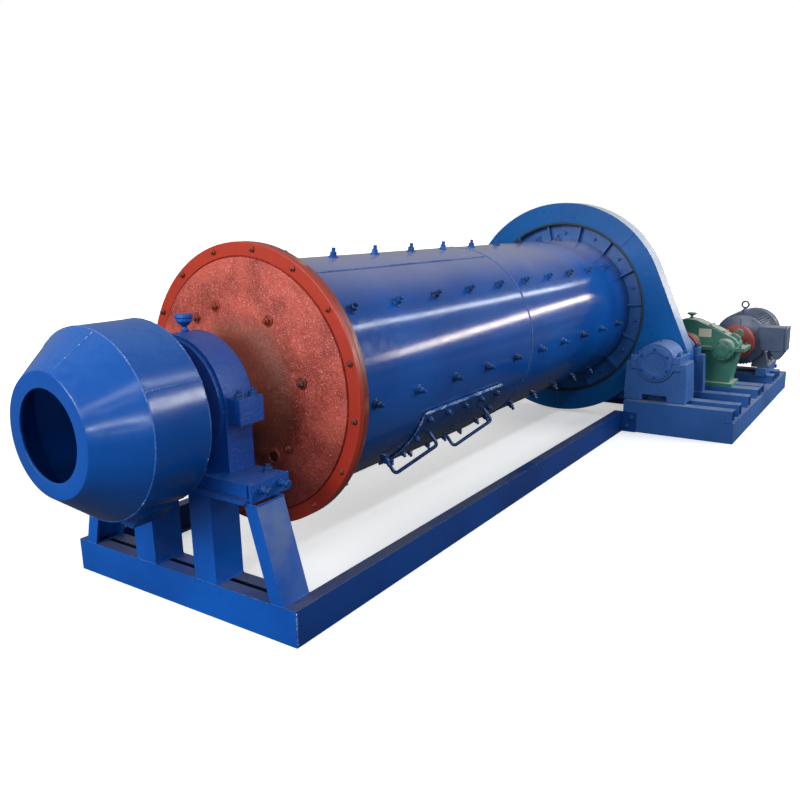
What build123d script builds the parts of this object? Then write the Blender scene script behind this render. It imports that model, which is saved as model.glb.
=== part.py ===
"""Ball mill: a rotating drum on two trestles, with its gear drive on a frame of its own.

X runs along the mill axis from the feed end to the discharge end, Z is up, and the
drive stands on the -Y side. The origin is on the ground under the mill axis, in the
middle of the lower flange of the first cross member. All lengths are millimetres.
"""
from build123d import *
from math import acos, atan2, cos, degrees, pi, radians, sin, sqrt, tan
import os

# Whole mill
axis_height = 720
shell_radius = 465
shell_length = 3000
shell_wall = 12
flange_radius = 540
flange_thickness = 25
end_offset = 456              # first cross member's face to the near end of the shell
seat_gap = 0.3                # between curved faces that lie against each other
running_gap = 0.05            # radial gap of a shaft in its bearing
overrun = 5                   # how far a cutting tool passes its work

# Rolled channel of the frames
channel_height = 126
channel_flange = 53
channel_web = 5.5
channel_flange_thickness = 9

# Mill frame
frame_half_width = 567
cross_pair_depth = 126        # first web face to last web face of a pair of cross members
end_plate_width = 139
end_plate_thickness = 12

# Trestles
bearing_drop = 258            # mill axis to the top of the trestle plate
trestle_plate_thickness = 12
trestle_plate_half_width = 385
trestle_plate_overhang = 15
trestle_plate_depth = 200
post_width = 106
post_inner_y = 105
leg_foot_inset = 51           # outer web face of the frame to the leg's foot
leg_head_reach = 41           # end of the plate to the leg's head

# Main bearings
bearing_start = 70            # first cross member's face to the near side of the cap
bearing_width = 125
bearing_cap_radius = 243
bearing_body_half_width = 240
bearing_foot_height = 48
bearing_foot_half_width = 376
bearing_foot_start = 10
bearing_foot_depth = 175
bearing_ear_half_width = 300
bearing_ear_height = 44
bearing_ear_inset = 8
bearing_cover_radius = 232
bearing_cover_thickness = 14
stop_thickness = 12
stop_height = 50
stop_bolt_radius = 9
stop_bolt_reach = 62
grease_stem_radius = 11
grease_stem_height = 26
grease_cup_radius = 31
grease_cup_height = 36

# Hollow trunnions and end covers
journal_radius = 150
trunnion_bore = 115
trunnion_flange_radius = 205
trunnion_flange_thickness = 24
neck_radius = 190
neck_clearance = 8            # bearing cover to the shoulder of the neck
neck_fillet = 70
cover_wall = 42
cover_cone_depth = 26
cover_step = 5
cover_rim_width = 50

# Feeder on the feed trunnion
feeder_radius = 311
feeder_mouth_radius = 145
feeder_nose_radius = 197
feeder_cone_length = 144
feeder_drum_length = 212
feeder_plate = 8
feeder_offset = 54            # feeder's rear plate to the first cross member's face
scoop_length = 130
scoop_half_width = 90
scoop_reach = 50
scoop_wall = 8
scoop_chamfer = 50
scoop_lift = 20               # floor's open edge above its lowest edge

# Manhole
door_length = 690
door_arc = 44
door_start_angle = 22
door_thickness = 12
door_lap = 35
door_start = 514              # near end of the shell to the door
handle_radius = 8
handle_reach = 63
handle_start_angle = 38
handle_arc = 23
handle_skew = 120
handle_inset = 130

# Gears
module = 10
ring_teeth = 136
pinion_teeth = 22
tooth_backlash = 0.8
pressure_angle = 20
gear_width = 100
gear_rim = 48
web_thickness = 26
rib_count = 15
rib_thickness = 14
rib_length = 38
rib_phase = 13                # degrees from the top towards the drive side to a rib
pinion_axis_z = 440
pinion_shaft_radius = 45
pinion_hub_radius = 75
pinion_hub_length = 40

# Gear guard
guard_clearance = 10
guard_lobe_clearance = 8
guard_plate = 4
guard_width = 134
guard_opening = 567
guard_strut = 40
guard_seat_share = 0.9        # of the guard's radius, the lowest its seat lies under the mill axis

# Drive frame
drive_start = 38.5            # drive frame's end to the front pinion bearing
drive_length = 1862
drive_half_gap = 657          # inner to outer web of the drive frame
upper_beam_height = 70
upper_beam_width = 80
low_beam_height = 58
low_beam_width = 126
beam_overhang = 12

# Pinion bearings
pinion_housing_length = 230
rear_housing_length = 90
housing_to_guard = 30
housing_face_inset = 16       # body's walls behind the pads and the round boss
housing_foot_height = 38
housing_foot_width = 115
housing_base_height = 28
housing_base_half_width = 190
housing_neck_half_width = 182
housing_shelf_half_width = 150
housing_shelf_height = 44
housing_cap_radius = 120
pinion_cover_radius = 104
pinion_cover_thickness = 11

# Slow coupling
slow_coupling_radius = 120
slow_coupling_half = 38
slow_hub_radius = 70
slow_hub_length = 22

# Reducer
reducer_start = 158           # rear pinion bearing to the reducer
reducer_width = 310           # over the bearing bosses
reducer_boss_reach = 88       # bearing bosses beyond the case's walls
reducer_flange_inset = 48     # face of the bosses to the edge of the split flange
reducer_centres = 245
reducer_big_radius = 188
reducer_small_radius = 86
reducer_wall_half = 205
reducer_flange_height = 12
reducer_flange_width = 24
reducer_end_reach = 44        # split flange beyond the case's outer end
reducer_toe_reach = 34        # lower case's bottom beyond the fast shaft
reducer_foot_height = 24
reducer_foot_width = 60
reducer_big_cover_radius = 95
reducer_small_cover_radius = 69
reducer_cover_thickness = 12
breather_radius = 33
breather_height = 42
input_shaft_radius = 24

# Fast coupling
fast_coupling_radius = 123
fast_coupling_half = 34
fast_hub_radius = 52
fast_hub_length = 26

# Motor
motor_start = 201.5           # reducer to the motor's front bell
motor_body_radius = 188
motor_bell_length = 60
motor_body_length = 420
motor_cowl_length = 160
motor_cowl_radius = 178
motor_foot_half_width = 200
motor_foot_length = 330
motor_foot_thickness = 22
motor_foot_start = 85
motor_centre_height = 200
motor_foot_web = 60
rail_width = 64
rail_spread = 155
rail_length = 440
terminal_box_length = 150
terminal_box_width = 125
terminal_box_height = 171
terminal_box_drop = 64
terminal_funnel_width = 109
terminal_funnel_drop = 60
motor_shaft_radius = 27

# Stations and places that follow from the sizes above
front_x = -channel_flange / 2
shell_x0 = front_x + end_offset
shell_x1 = shell_x0 + shell_length
middle_x = (shell_x0 + shell_x1) / 2
frame_x1 = 2 * middle_x - front_x
frame_top = channel_height
plate_top = axis_height - bearing_drop
leg_foot_y = frame_half_width - leg_foot_inset
leg_head_y = trestle_plate_half_width + leg_head_reach
feeder_x1 = front_x - feeder_offset
feeder_cone_x = feeder_x1 - feeder_drum_length
feeder_x0 = feeder_cone_x - feeder_cone_length
bearing_x0 = front_x + bearing_start
bearing_x1 = bearing_x0 + bearing_width
neck_x = bearing_x1 + bearing_cover_thickness + neck_clearance
cover_x0 = shell_x0 - 2 * flange_thickness
gear_x1 = shell_x1 + flange_thickness / 2 + gear_width / 4
gear_x0 = gear_x1 - gear_width
gear_middle_x = (gear_x0 + gear_x1) / 2
web_x1 = shell_x1
web_x0 = web_x1 - web_thickness
ring_pitch_radius = module * ring_teeth / 2
pinion_pitch_radius = module * pinion_teeth / 2
ring_tip_radius = ring_pitch_radius + module
pinion_tip_radius = pinion_pitch_radius + module
ring_root_radius = ring_pitch_radius - 1.25 * module
gear_centres = ring_pitch_radius + pinion_pitch_radius
axis_drop = axis_height - pinion_axis_z
pinion_axis_y = -sqrt(gear_centres**2 - axis_drop**2)
mesh_angle = atan2(-axis_drop, pinion_axis_y)
guard_radius = ring_tip_radius + guard_clearance + guard_plate
lobe_radius = pinion_tip_radius + guard_lobe_clearance + guard_plate
guard_x0 = gear_middle_x - guard_width / 2
guard_x1 = gear_middle_x + guard_width / 2
drive_inner_y = -frame_half_width
drive_outer_y = drive_inner_y - drive_half_gap
upper_beam_top = frame_top + upper_beam_height
housing_x1 = guard_x0 - housing_to_guard
housing_x0 = housing_x1 - pinion_housing_length
drive_x0 = housing_x0 - drive_start
drive_x1 = drive_x0 + drive_length
rear_housing_x0 = guard_x1 + housing_to_guard
rear_housing_x1 = rear_housing_x0 + rear_housing_length
reducer_x0 = rear_housing_x1 + reducer_start
reducer_x1 = reducer_x0 + reducer_width
slow_joint_x = (rear_housing_x1 + reducer_x0) / 2
input_axis_y = pinion_axis_y - reducer_centres
motor_x0 = reducer_x1 + motor_start
motor_bell_x1 = motor_x0 + motor_bell_length
motor_body_x1 = motor_x0 + motor_body_length
motor_x1 = motor_body_x1 + motor_bell_length
cowl_x1 = motor_x1 + motor_cowl_length
fast_joint_x = (reducer_x1 + motor_x0) / 2
low_beam_top = frame_top + low_beam_height
motor_foot_z = pinion_axis_z - motor_centre_height

mill_axis = Axis((0, 0, axis_height), (1, 0, 0))


def block(x0, x1, y0, y1, z0, z1):
    """Rectangular block between two corners."""
    return Pos(min(x0, x1), min(y0, y1), z0) * Box(
        abs(x1 - x0), abs(y1 - y0), z1 - z0, align=(Align.MIN, Align.MIN, Align.MIN))


def rod(x0, x1, radius, y=0, z=axis_height):
    """Round bar along X."""
    return extrude(Plane.YZ.offset(x0) * Pos(y, z) * Circle(radius), amount=x1 - x0)


def upright_rod(x, y, z0, height, radius):
    """Round bar along Z."""
    return Pos(x, y, z0) * Cylinder(radius, height, align=(Align.CENTER, Align.CENTER, Align.MIN))


def section(points, x0, x1):
    """Prism along X from an outline of (y, z) points."""
    face = make_face(Polyline(*points, close=True))
    return extrude(Plane.YZ.offset(x0) * face, amount=x1 - x0)


def turned(points, y=0, z=axis_height):
    """Solid of revolution about an axis along X, from an outline of (x, radius) points."""
    place = Plane(origin=(0, y, z), x_dir=(1, 0, 0), z_dir=(0, -1, 0))
    face = place * make_face(Polyline(*points, close=True))
    return revolve(face, axis=Axis((0, y, z), (1, 0, 0)))


def at_discharge(shape):
    """The same piece at the other end of the mill."""
    return mirror(shape, about=Plane.YZ.offset(middle_x))


def keep_above(shape, z):
    """Upper part of a shape."""
    return split(shape, bisect_by=Plane.XY.offset(z), keep=Keep.TOP)


def keep_below(shape, z):
    """Lower part of a shape."""
    return split(shape, bisect_by=Plane.XY.offset(z), keep=Keep.BOTTOM)


def channel_along_y(x_face, toward, y0, y1, web_y0, web_y1):
    """Cross channel: the web's outer face at x_face, flanges toward +X or -X, coped at the ends."""
    web_end = x_face + toward * channel_web
    tip = x_face + toward * channel_flange
    web = block(x_face, web_end, web_y0, web_y1, channel_flange_thickness,
                channel_height - channel_flange_thickness)
    low = block(x_face, tip, y0, y1, 0, channel_flange_thickness)
    high = block(x_face, tip, y0, y1, channel_height - channel_flange_thickness, channel_height)
    return web + low + high


def channel_along_x(y_face, toward, x0, x1):
    """Long channel: the web's outer face at y_face, flanges toward +Y or -Y."""
    web_end = y_face + toward * channel_web
    tip = y_face + toward * channel_flange
    web = block(x0, x1, y_face, web_end, 0, channel_height)
    low = block(x0, x1, y_face, tip, 0, channel_flange_thickness)
    high = block(x0, x1, y_face, tip, channel_height - channel_flange_thickness, channel_height)
    return web + low + high


def feed_cross_members():
    """Outer and inner cross channels under the feed trestle, flanges facing each other."""
    flange_y = frame_half_width - channel_flange
    web_y = frame_half_width - channel_web
    outer = channel_along_y(front_x, 1, -flange_y, flange_y, -web_y, web_y)
    face = block(front_x, front_x + channel_web, -frame_half_width, frame_half_width, 0, channel_height)
    inner = channel_along_y(front_x + cross_pair_depth, -1, -flange_y, flange_y, -web_y, web_y)
    return outer + face, inner


def long_beam(side, x1):
    """Long channel of the mill frame, from behind the first cross member's web."""
    return channel_along_x(side * frame_half_width, -side, front_x + channel_web, x1)


def drive_joint_plate():
    """Plate on the end of the drive side's long channel, bolted to the drive frame."""
    inner_y = -frame_half_width + channel_flange
    return block(drive_x0 - end_plate_thickness, drive_x0, inner_y, inner_y - end_plate_width,
                 0, channel_height)


def box_post(side):
    """Two channels welded toe to toe into an upright box."""
    x0 = front_x
    x1 = front_x + cross_pair_depth
    y0 = side * post_inner_y
    y1 = side * (post_inner_y + post_width)
    wall_y = side * channel_flange_thickness
    z0 = frame_top
    z1 = plate_top - trestle_plate_thickness
    outside = block(x0, x1, y0, y1, z0, z1)
    inside = block(x0 + channel_web, x1 - channel_web, y0 + wall_y, y1 - wall_y, z0, z1)
    return outside - inside


def leaning_leg(side):
    """Outer leg: a channel with its web outside, leaning in from the frame to the plate."""
    z0 = frame_top
    z1 = plate_top - trestle_plate_thickness
    lean = atan2(leg_foot_y - leg_head_y, z1 - z0)
    width = channel_flange / cos(lean)
    web = channel_web / cos(lean)
    x0 = front_x
    x1 = front_x + cross_pair_depth

    def strip(inset, x_low, x_high):
        foot = leg_foot_y
        head = leg_head_y
        points = [(side * foot, z0), (side * (foot - inset), z0),
                  (side * (head - inset), z1), (side * head, z1)]
        return section(points, x_low, x_high)

    near = strip(width, x0, x0 + channel_flange_thickness)
    far = strip(width, x1 - channel_flange_thickness, x1)
    return strip(web, x0, x1) + near + far


def feed_trestle():
    """Welded trestle: two box posts, two leaning legs and the plate under the bearing."""
    plate = block(front_x - trestle_plate_overhang, front_x - trestle_plate_overhang + trestle_plate_depth,
                  -trestle_plate_half_width, trestle_plate_half_width,
                  plate_top - trestle_plate_thickness, plate_top)
    trestle = plate
    for side in (-1, 1):
        trestle += box_post(side) + leaning_leg(side)
    return trestle


def bearing_bore():
    """Cutter for the seat of the journal."""
    reach = bearing_cover_thickness + overrun
    return rod(bearing_x0 - reach, bearing_x1 + reach, journal_radius + running_gap)


def bearing_round(z_keep):
    """Both end covers of the bearing, as one half of a ring each."""
    covers = rod(bearing_x0 - bearing_cover_thickness, bearing_x1 + bearing_cover_thickness,
                 bearing_cover_radius)
    return z_keep(covers, axis_height)


def feed_bearing_housing():
    """Cast lower half of the main bearing, on its foot."""
    foot_x0 = front_x + bearing_foot_start
    foot_top = plate_top + bearing_foot_height
    foot = block(foot_x0, foot_x0 + bearing_foot_depth, -bearing_foot_half_width,
                 bearing_foot_half_width, plate_top, foot_top)
    body = block(bearing_x0, bearing_x1 - bearing_ear_inset, -bearing_body_half_width,
                 bearing_body_half_width, foot_top, axis_height)
    ledge = block(bearing_x0 + bearing_ear_inset, bearing_x1 - bearing_ear_inset, -bearing_ear_half_width,
                  bearing_ear_half_width, axis_height - bearing_ear_height, axis_height)
    return foot + body + ledge + bearing_round(keep_below) - bearing_bore()


def feed_bearing_cap():
    """Cast upper half of the main bearing, with its ears."""
    arch = keep_above(rod(bearing_x0, bearing_x1, bearing_cap_radius), axis_height)
    ears = block(bearing_x0 + bearing_ear_inset, bearing_x1 - bearing_ear_inset, -bearing_ear_half_width,
                 bearing_ear_half_width, axis_height, axis_height + bearing_ear_height)
    return arch + ears + bearing_round(keep_above) - bearing_bore()


def feed_grease_cup():
    """Grease cup on a stem on top of the bearing cap."""
    x = (bearing_x0 + bearing_x1) / 2
    z0 = axis_height + bearing_cap_radius
    stem = upright_rod(x, 0, z0, grease_stem_height, grease_stem_radius)
    return stem + upright_rod(x, 0, z0 + grease_stem_height, grease_cup_height, grease_cup_radius)


def feed_bearing_stops():
    """Plates welded to the ends of the trestle plate, with two jack bolts each."""
    x0 = front_x + bearing_foot_start
    x1 = x0 + bearing_foot_depth
    z1 = plate_top + stop_height
    stops = []
    for side in (-1, 1):
        y0 = side * trestle_plate_half_width
        stop = block(x0, x1, y0, y0 + side * stop_thickness, plate_top - trestle_plate_thickness, z1)
        bolt_z = plate_top + bearing_foot_height / 2
        for share in (0.25, 0.75):
            x = x0 + share * bearing_foot_depth
            start = side * bearing_foot_half_width
            plane = Plane(origin=(x, start, bolt_z), z_dir=(0, side, 0))
            stop += extrude(plane * Circle(stop_bolt_radius), amount=stop_bolt_reach)
        stops.append(stop)
    return stops


def end_cover(x_tip, tip_flange):
    """Cast end cover with its hollow trunnion, at the feed end."""
    rim_x = shell_x0 - flange_thickness
    rim_radius = flange_radius - cover_rim_width
    cone_x = cover_x0 - cover_step
    corner_x = cone_x - cover_cone_depth
    flare_x = rim_x - cover_wall
    outline = [(x_tip, trunnion_bore), (x_tip, journal_radius)]
    if tip_flange:
        flange_x = x_tip + trunnion_flange_thickness
        outline = [(x_tip, trunnion_bore), (x_tip, trunnion_flange_radius),
                   (flange_x, trunnion_flange_radius), (flange_x, journal_radius)]
    outline += [(neck_x, journal_radius), (neck_x, neck_radius)]
    curve = FilletPolyline((neck_x, neck_radius), (corner_x, neck_radius), (cone_x, rim_radius - cover_step),
                           radius=neck_fillet)
    rest = [(cone_x, rim_radius - cover_step), (cover_x0, rim_radius), (cover_x0, flange_radius),
            (rim_x, flange_radius), (rim_x, neck_radius + cover_wall), (flare_x, trunnion_bore),
            (x_tip, trunnion_bore)]
    edges = Polyline(*outline).edges() + curve.edges() + Polyline(*rest).edges()
    place = Plane(origin=(0, 0, axis_height), x_dir=(1, 0, 0), z_dir=(0, -1, 0))
    return revolve(place * make_face(edges), axis=mill_axis)


def feeder_shell():
    """Welded feeder: a cone with the mouth, a drum and a rear plate."""
    nose = feeder_nose_radius - feeder_plate
    inside = feeder_radius - feeder_plate
    return turned([(feeder_x0, feeder_mouth_radius), (feeder_x0, feeder_nose_radius),
                   (feeder_cone_x, feeder_radius), (feeder_x1, feeder_radius),
                   (feeder_x1, trunnion_bore), (feeder_x1 - feeder_plate, trunnion_bore),
                   (feeder_x1 - feeder_plate, inside), (feeder_cone_x, inside),
                   (feeder_x0 + feeder_plate, nose), (feeder_x0 + feeder_plate, feeder_mouth_radius)])


def feeder_scoop():
    """Scoop box under the feeder drum, open towards its turning direction."""
    x0 = feeder_x1 - scoop_length
    z0 = axis_height - feeder_radius - scoop_reach
    top = axis_height - feeder_radius / 2
    outline = [(-scoop_half_width, top), (-scoop_half_width, z0 + scoop_chamfer),
               (-scoop_half_width + scoop_chamfer, z0), (scoop_half_width, z0 + scoop_lift),
               (scoop_half_width, top)]
    inner = [(-scoop_half_width + scoop_wall, top + overrun),
             (-scoop_half_width + scoop_wall, z0 + scoop_chamfer),
             (-scoop_half_width + scoop_chamfer, z0 + scoop_wall),
             (scoop_half_width + overrun, z0 + scoop_lift + scoop_wall),
             (scoop_half_width + overrun, top + overrun)]
    box = section(outline, x0, feeder_x1) - section(inner, x0 + scoop_wall, feeder_x1 - scoop_wall)
    return box - rod(x0 - overrun, feeder_x1 + overrun, feeder_radius + seat_gap)


def shell_sector(inner, outer, x0, x1, angle, arc):
    """Curved slab on the shell; the angle is measured down from -Y."""
    place = Plane(origin=(0, 0, axis_height), x_dir=(1, 0, 0), z_dir=(0, -1, 0))
    face = place * make_face(Polyline((x0, inner), (x1, inner), (x1, outer), (x0, outer), close=True))
    slab = revolve(face, axis=mill_axis, revolution_arc=arc)
    return Rot(X=0) * slab.rotate(mill_axis, 90 + angle)


def drum_shell():
    """Rolled shell with the manhole cut through it."""
    inside = shell_radius - shell_wall
    x0 = shell_x0 - flange_thickness
    x1 = shell_x1 + flange_thickness
    tube = rod(x0, x1, shell_radius) - rod(x0 - overrun, x1 + overrun, inside)
    lap_angle = degrees(door_lap / shell_radius)
    hole = shell_sector(inside - overrun, shell_radius + overrun, shell_x0 + door_start + door_lap,
                        shell_x0 + door_start + door_length - door_lap,
                        door_start_angle + lap_angle, door_arc - 2 * lap_angle)
    return tube - hole


def shell_flanges():
    """Flange rings welded round both ends of the shell."""
    rings = []
    for x0 in (shell_x0 - flange_thickness, shell_x1):
        centre = rod(x0 - overrun, x0 + flange_thickness + overrun, shell_radius + seat_gap)
        rings.append(rod(x0, x0 + flange_thickness, flange_radius) - centre)
    return rings


def on_door(angle, reach):
    """Point (y, z) at an angle below -Y and a height above the door."""
    radius = shell_radius + door_thickness + reach
    return (-radius * cos(radians(angle)), axis_height - radius * sin(radians(angle)))


def handle(x):
    """Bent bar handle across the door."""
    high = on_door(handle_start_angle, -handle_radius)
    low = on_door(handle_start_angle + handle_arc, -handle_radius)
    out = radians(handle_start_angle + handle_arc / 2)
    step = handle_reach + handle_radius
    lift = (-step * cos(out), -step * sin(out))
    path = FilletPolyline((x, high[0], high[1]), (x, high[0] + lift[0], high[1] + lift[1]),
                          (x - handle_skew, low[0] + lift[0], low[1] + lift[1]),
                          (x - handle_skew, low[0], low[1]), radius=2 * handle_radius)
    start = Plane(origin=path @ 0, z_dir=path % 0)
    return sweep(start * Circle(handle_radius), path=path)


def manhole_door():
    """Curved door plate on the shell with two handles."""
    x0 = shell_x0 + door_start
    plate = shell_sector(shell_radius + seat_gap, shell_radius + door_thickness, x0, x0 + door_length,
                         door_start_angle, door_arc)
    near = x0 + handle_inset
    far = x0 + door_length - handle_inset / 2
    return plate + handle(near) + handle(far)


def tooth_half_angle(radius, pitch_radius, teeth):
    """Half of an involute tooth's angle at a radius."""
    base = pitch_radius * cos(radians(pressure_angle))
    slope = acos(min(1, base / radius))
    pitch_slope = radians(pressure_angle)
    at_pitch = pi / 2 / teeth - tooth_backlash / 4 / pitch_radius
    return at_pitch + (tan(pitch_slope) - pitch_slope) - (tan(slope) - slope)


def gear_outline(teeth, phase):
    """Outline of a spur gear in (y, z) about its own axis; a tooth is centred on the phase."""
    pitch = module * teeth / 2
    radii = [pitch - 1.25 * module, pitch - 0.6 * module, pitch, pitch + 0.5 * module, pitch + module]
    points = []
    for tooth in range(teeth):
        centre = phase + 2 * pi * tooth / teeth
        rise = [(r, centre - tooth_half_angle(r, pitch, teeth)) for r in radii]
        fall = [(r, centre + tooth_half_angle(r, pitch, teeth)) for r in reversed(radii)]
        points += [(r * cos(a), r * sin(a)) for r, a in rise + fall]
    return points


def ring_gear():
    """Ring gear on the discharge flange: a toothed rim, a web and short ribs behind the guard."""
    phase = mesh_angle + pi / ring_teeth
    points = [(y, axis_height + z) for y, z in gear_outline(ring_teeth, phase)]
    rim_inside = ring_root_radius - gear_rim
    rim = section(points, gear_x0, gear_x1) - rod(gear_x0 - overrun, gear_x1 + overrun, rim_inside)
    centre = shell_radius + seat_gap
    web = rod(web_x0, web_x1, rim_inside + overrun) - rod(web_x0 - overrun, web_x1 + overrun, centre)
    gear = rim + web
    rib_x0 = web_x0 - rib_length
    rib = block(rib_x0, web_x0, -rib_thickness / 2, rib_thickness / 2, axis_height + centre + seat_gap,
                axis_height + rim_inside + overrun)
    for number in range(rib_count):
        gear += rib.rotate(mill_axis, 360 * number / rib_count + rib_phase)
    return gear


def guard_outline(radius, lobe):
    """Prism base of the guard: a disc round the ring gear, a lobe round the pinion and the flat above it."""
    ring = Pos(0, axis_height) * Circle(radius)
    small = Pos(pinion_axis_y, pinion_axis_z) * Circle(lobe)
    turn = acos((radius - lobe) / gear_centres)
    touch = mesh_angle - turn
    high = (radius * cos(touch), axis_height + radius * sin(touch))
    low = (pinion_axis_y + lobe * cos(touch), pinion_axis_z + lobe * sin(touch))
    wedge = make_face(Polyline((0, axis_height), high, low, (pinion_axis_y, pinion_axis_z), close=True))
    return ring + small + wedge


def gear_guard():
    """Sheet guard round both gears, open at the shell and at the pinion shaft."""
    outside = guard_outline(guard_radius, lobe_radius)
    inside = guard_outline(guard_radius - guard_plate, lobe_radius - guard_plate)
    skin = extrude(Plane.YZ.offset(guard_x0) * outside, amount=guard_width)
    space = extrude(Plane.YZ.offset(guard_x0 + guard_plate) * inside, amount=guard_width - 2 * guard_plate)
    shaft_hole = rod(guard_x0 - overrun, guard_x1 + overrun, pinion_hub_radius + overrun,
                     pinion_axis_y, pinion_axis_z)
    return skin - space - rod(guard_x0 - overrun, guard_x1 + overrun, guard_opening) - shaft_hole


def gear_guard_lower(guard):
    """Lower part of the guard on two struts from the drive frame's inner beam."""
    half = keep_below(guard, axis_height)
    seat_drop = min(axis_height - frame_top, guard_seat_share * guard_radius)
    seat_z = axis_height - seat_drop
    reach = sqrt(guard_radius**2 - seat_drop**2)
    strut = block(gear_middle_x - guard_strut / 2, gear_middle_x + guard_strut / 2, drive_inner_y,
                  -reach, frame_top, frame_top + guard_strut)
    pad = block(gear_middle_x - guard_strut / 2, gear_middle_x + guard_strut / 2, -reach - guard_strut,
                -reach + guard_strut, frame_top, seat_z + guard_strut)
    solid_disc = rod(guard_x0, guard_x1, guard_radius - guard_plate / 2)
    return half + ((strut + pad) - solid_disc)


def drive_frame():
    """Welded rectangle of channels under the drive."""
    inner = drive_inner_y
    outer = drive_outer_y
    front = channel_along_y(drive_x0, 1, outer, inner, outer, inner)
    back = channel_along_y(drive_x1, -1, outer, inner, outer, inner)
    near = channel_along_x(inner, -1, drive_x0, drive_x1)
    far = channel_along_x(outer, 1, drive_x0, drive_x1)
    return front + back + near + far


def beam_across(x0, width, height):
    """Channel laid across the drive frame on its toes, web on top."""
    y0 = drive_outer_y + beam_overhang
    y1 = drive_inner_y
    top = frame_top + height
    web = block(x0, x0 + width, y0, y1, top - channel_flange_thickness, top)
    toe = block(x0, x0 + channel_web, y0, y1, frame_top, top)
    heel = block(x0 + width - channel_web, x0 + width, y0, y1, frame_top, top)
    return web + toe + heel


def drive_cross_beams():
    """Channels across the drive frame, under the pinion bearings, the reducer and the motor."""
    high = [drive_x0, housing_x1 - upper_beam_width, rear_housing_x0]
    low = [reducer_x0 + reducer_flange_inset, reducer_x1 - low_beam_width, motor_x0 + motor_foot_start,
           motor_x0 + motor_foot_start + motor_foot_length - low_beam_width]
    beams = [beam_across(x, upper_beam_width, upper_beam_height) for x in high]
    low_width = min(low_beam_width, reducer_width / 2 - reducer_flange_inset)
    beams += [beam_across(x, low_width, low_beam_height) for x in low]
    return beams


def pinion_bearing_bore(x0, x1):
    """Cutter for the pinion shaft's seat in a bearing."""
    return rod(x0 - overrun, x1 + overrun, pinion_shaft_radius + running_gap, pinion_axis_y, pinion_axis_z)


def pinion_housing(x0, x1):
    """Cast lower half of a pinion bearing on its two feet, with a pad on each side of its boss."""
    body_x0 = x0 + housing_face_inset
    body_x1 = x1 - housing_face_inset
    z0 = upper_beam_top
    base_z = z0 + housing_foot_height
    body_z = base_z + housing_base_height
    y = pinion_axis_y
    body = section([(y - housing_base_half_width, body_z), (y + housing_base_half_width, body_z),
                    (y + housing_neck_half_width, pinion_axis_z),
                    (y - housing_neck_half_width, pinion_axis_z)], body_x0, body_x1)
    base = block(body_x0, body_x1, y - housing_base_half_width, y + housing_base_half_width,
                 base_z, body_z)
    boss = keep_below(rod(x0, x1, housing_cap_radius, y, pinion_axis_z), pinion_axis_z)
    shelf = block(x0, x1, y - housing_shelf_half_width, y + housing_shelf_half_width,
                  pinion_axis_z - housing_shelf_height, pinion_axis_z)
    housing = body + base + boss + shelf
    for side in (-1, 1):
        edge = y + side * housing_base_half_width
        housing += block(body_x0, body_x1, edge, edge - side * housing_foot_width, z0, base_z)
    return housing - pinion_bearing_bore(x0, x1)


def pinion_cap(x0, x1):
    """Cast upper half of a pinion bearing with its side flanges."""
    y = pinion_axis_y
    arch = keep_above(rod(x0, x1, housing_cap_radius, y, pinion_axis_z), pinion_axis_z)
    flange = block(x0, x1, y - housing_shelf_half_width, y + housing_shelf_half_width,
                   pinion_axis_z, pinion_axis_z + housing_shelf_height)
    return arch + flange - pinion_bearing_bore(x0, x1)


def pinion_bearing_covers():
    """Round covers: a blind one outside the front bearing, an open one behind the rear bearing."""
    y = pinion_axis_y
    z = pinion_axis_z
    blind = rod(housing_x0 - pinion_cover_thickness, housing_x0, pinion_cover_radius, y, z)
    ring = rod(rear_housing_x1, rear_housing_x1 + pinion_cover_thickness, pinion_cover_radius, y, z)
    ring -= rod(rear_housing_x1 - overrun, rear_housing_x1 + 2 * pinion_cover_thickness,
                pinion_shaft_radius + overrun, y, z)
    return blind, ring


def pinion():
    """Spur pinion with a hub on each side."""
    points = [(pinion_axis_y + y, pinion_axis_z + z)
              for y, z in gear_outline(pinion_teeth, mesh_angle + pi)]
    hub = rod(gear_x0 - pinion_hub_length, gear_x1 + pinion_hub_length, pinion_hub_radius,
              pinion_axis_y, pinion_axis_z)
    bore = rod(gear_x0 - 2 * pinion_hub_length, gear_x1 + 2 * pinion_hub_length, pinion_shaft_radius,
               pinion_axis_y, pinion_axis_z)
    return section(points, gear_x0, gear_x1) + hub - bore


def pinion_shaft():
    """Pinion shaft from inside the front bearing to the slow coupling."""
    return rod(housing_x0 + overrun, slow_joint_x, pinion_shaft_radius, pinion_axis_y, pinion_axis_z)


def coupling(x_joint, y, flange_radius, flange_half, hub_radius, hub_length, bore_a, bore_b):
    """Two coupling halves that meet at x_joint."""
    z = pinion_axis_z
    halves = []
    for side, bore in ((-1, bore_a), (1, bore_b)):
        inner = x_joint
        outer = x_joint + side * flange_half
        hub_end = outer + side * hub_length
        low, high = sorted((inner, outer))
        half = rod(low, high, flange_radius, y, z)
        low, high = sorted((outer, hub_end))
        half += rod(low, high, hub_radius, y, z)
        low, high = sorted((inner, hub_end))
        halves.append(half - rod(low - overrun, high + overrun, bore, y, z))
    return halves


def reducer_output_shaft():
    """Slow shaft of the reducer."""
    return rod(slow_joint_x, reducer_x0 + reducer_width / 2, pinion_shaft_radius,
               pinion_axis_y, pinion_axis_z)


def reducer_input_shaft():
    """Fast shaft of the reducer."""
    return rod(reducer_x1 - reducer_width / 4, fast_joint_x, input_shaft_radius,
               input_axis_y, pinion_axis_z)


def motor_shaft():
    """Free end of the motor's shaft."""
    return rod(fast_joint_x, motor_x0 + motor_bell_length / 2, motor_shaft_radius,
               input_axis_y, pinion_axis_z)


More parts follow.
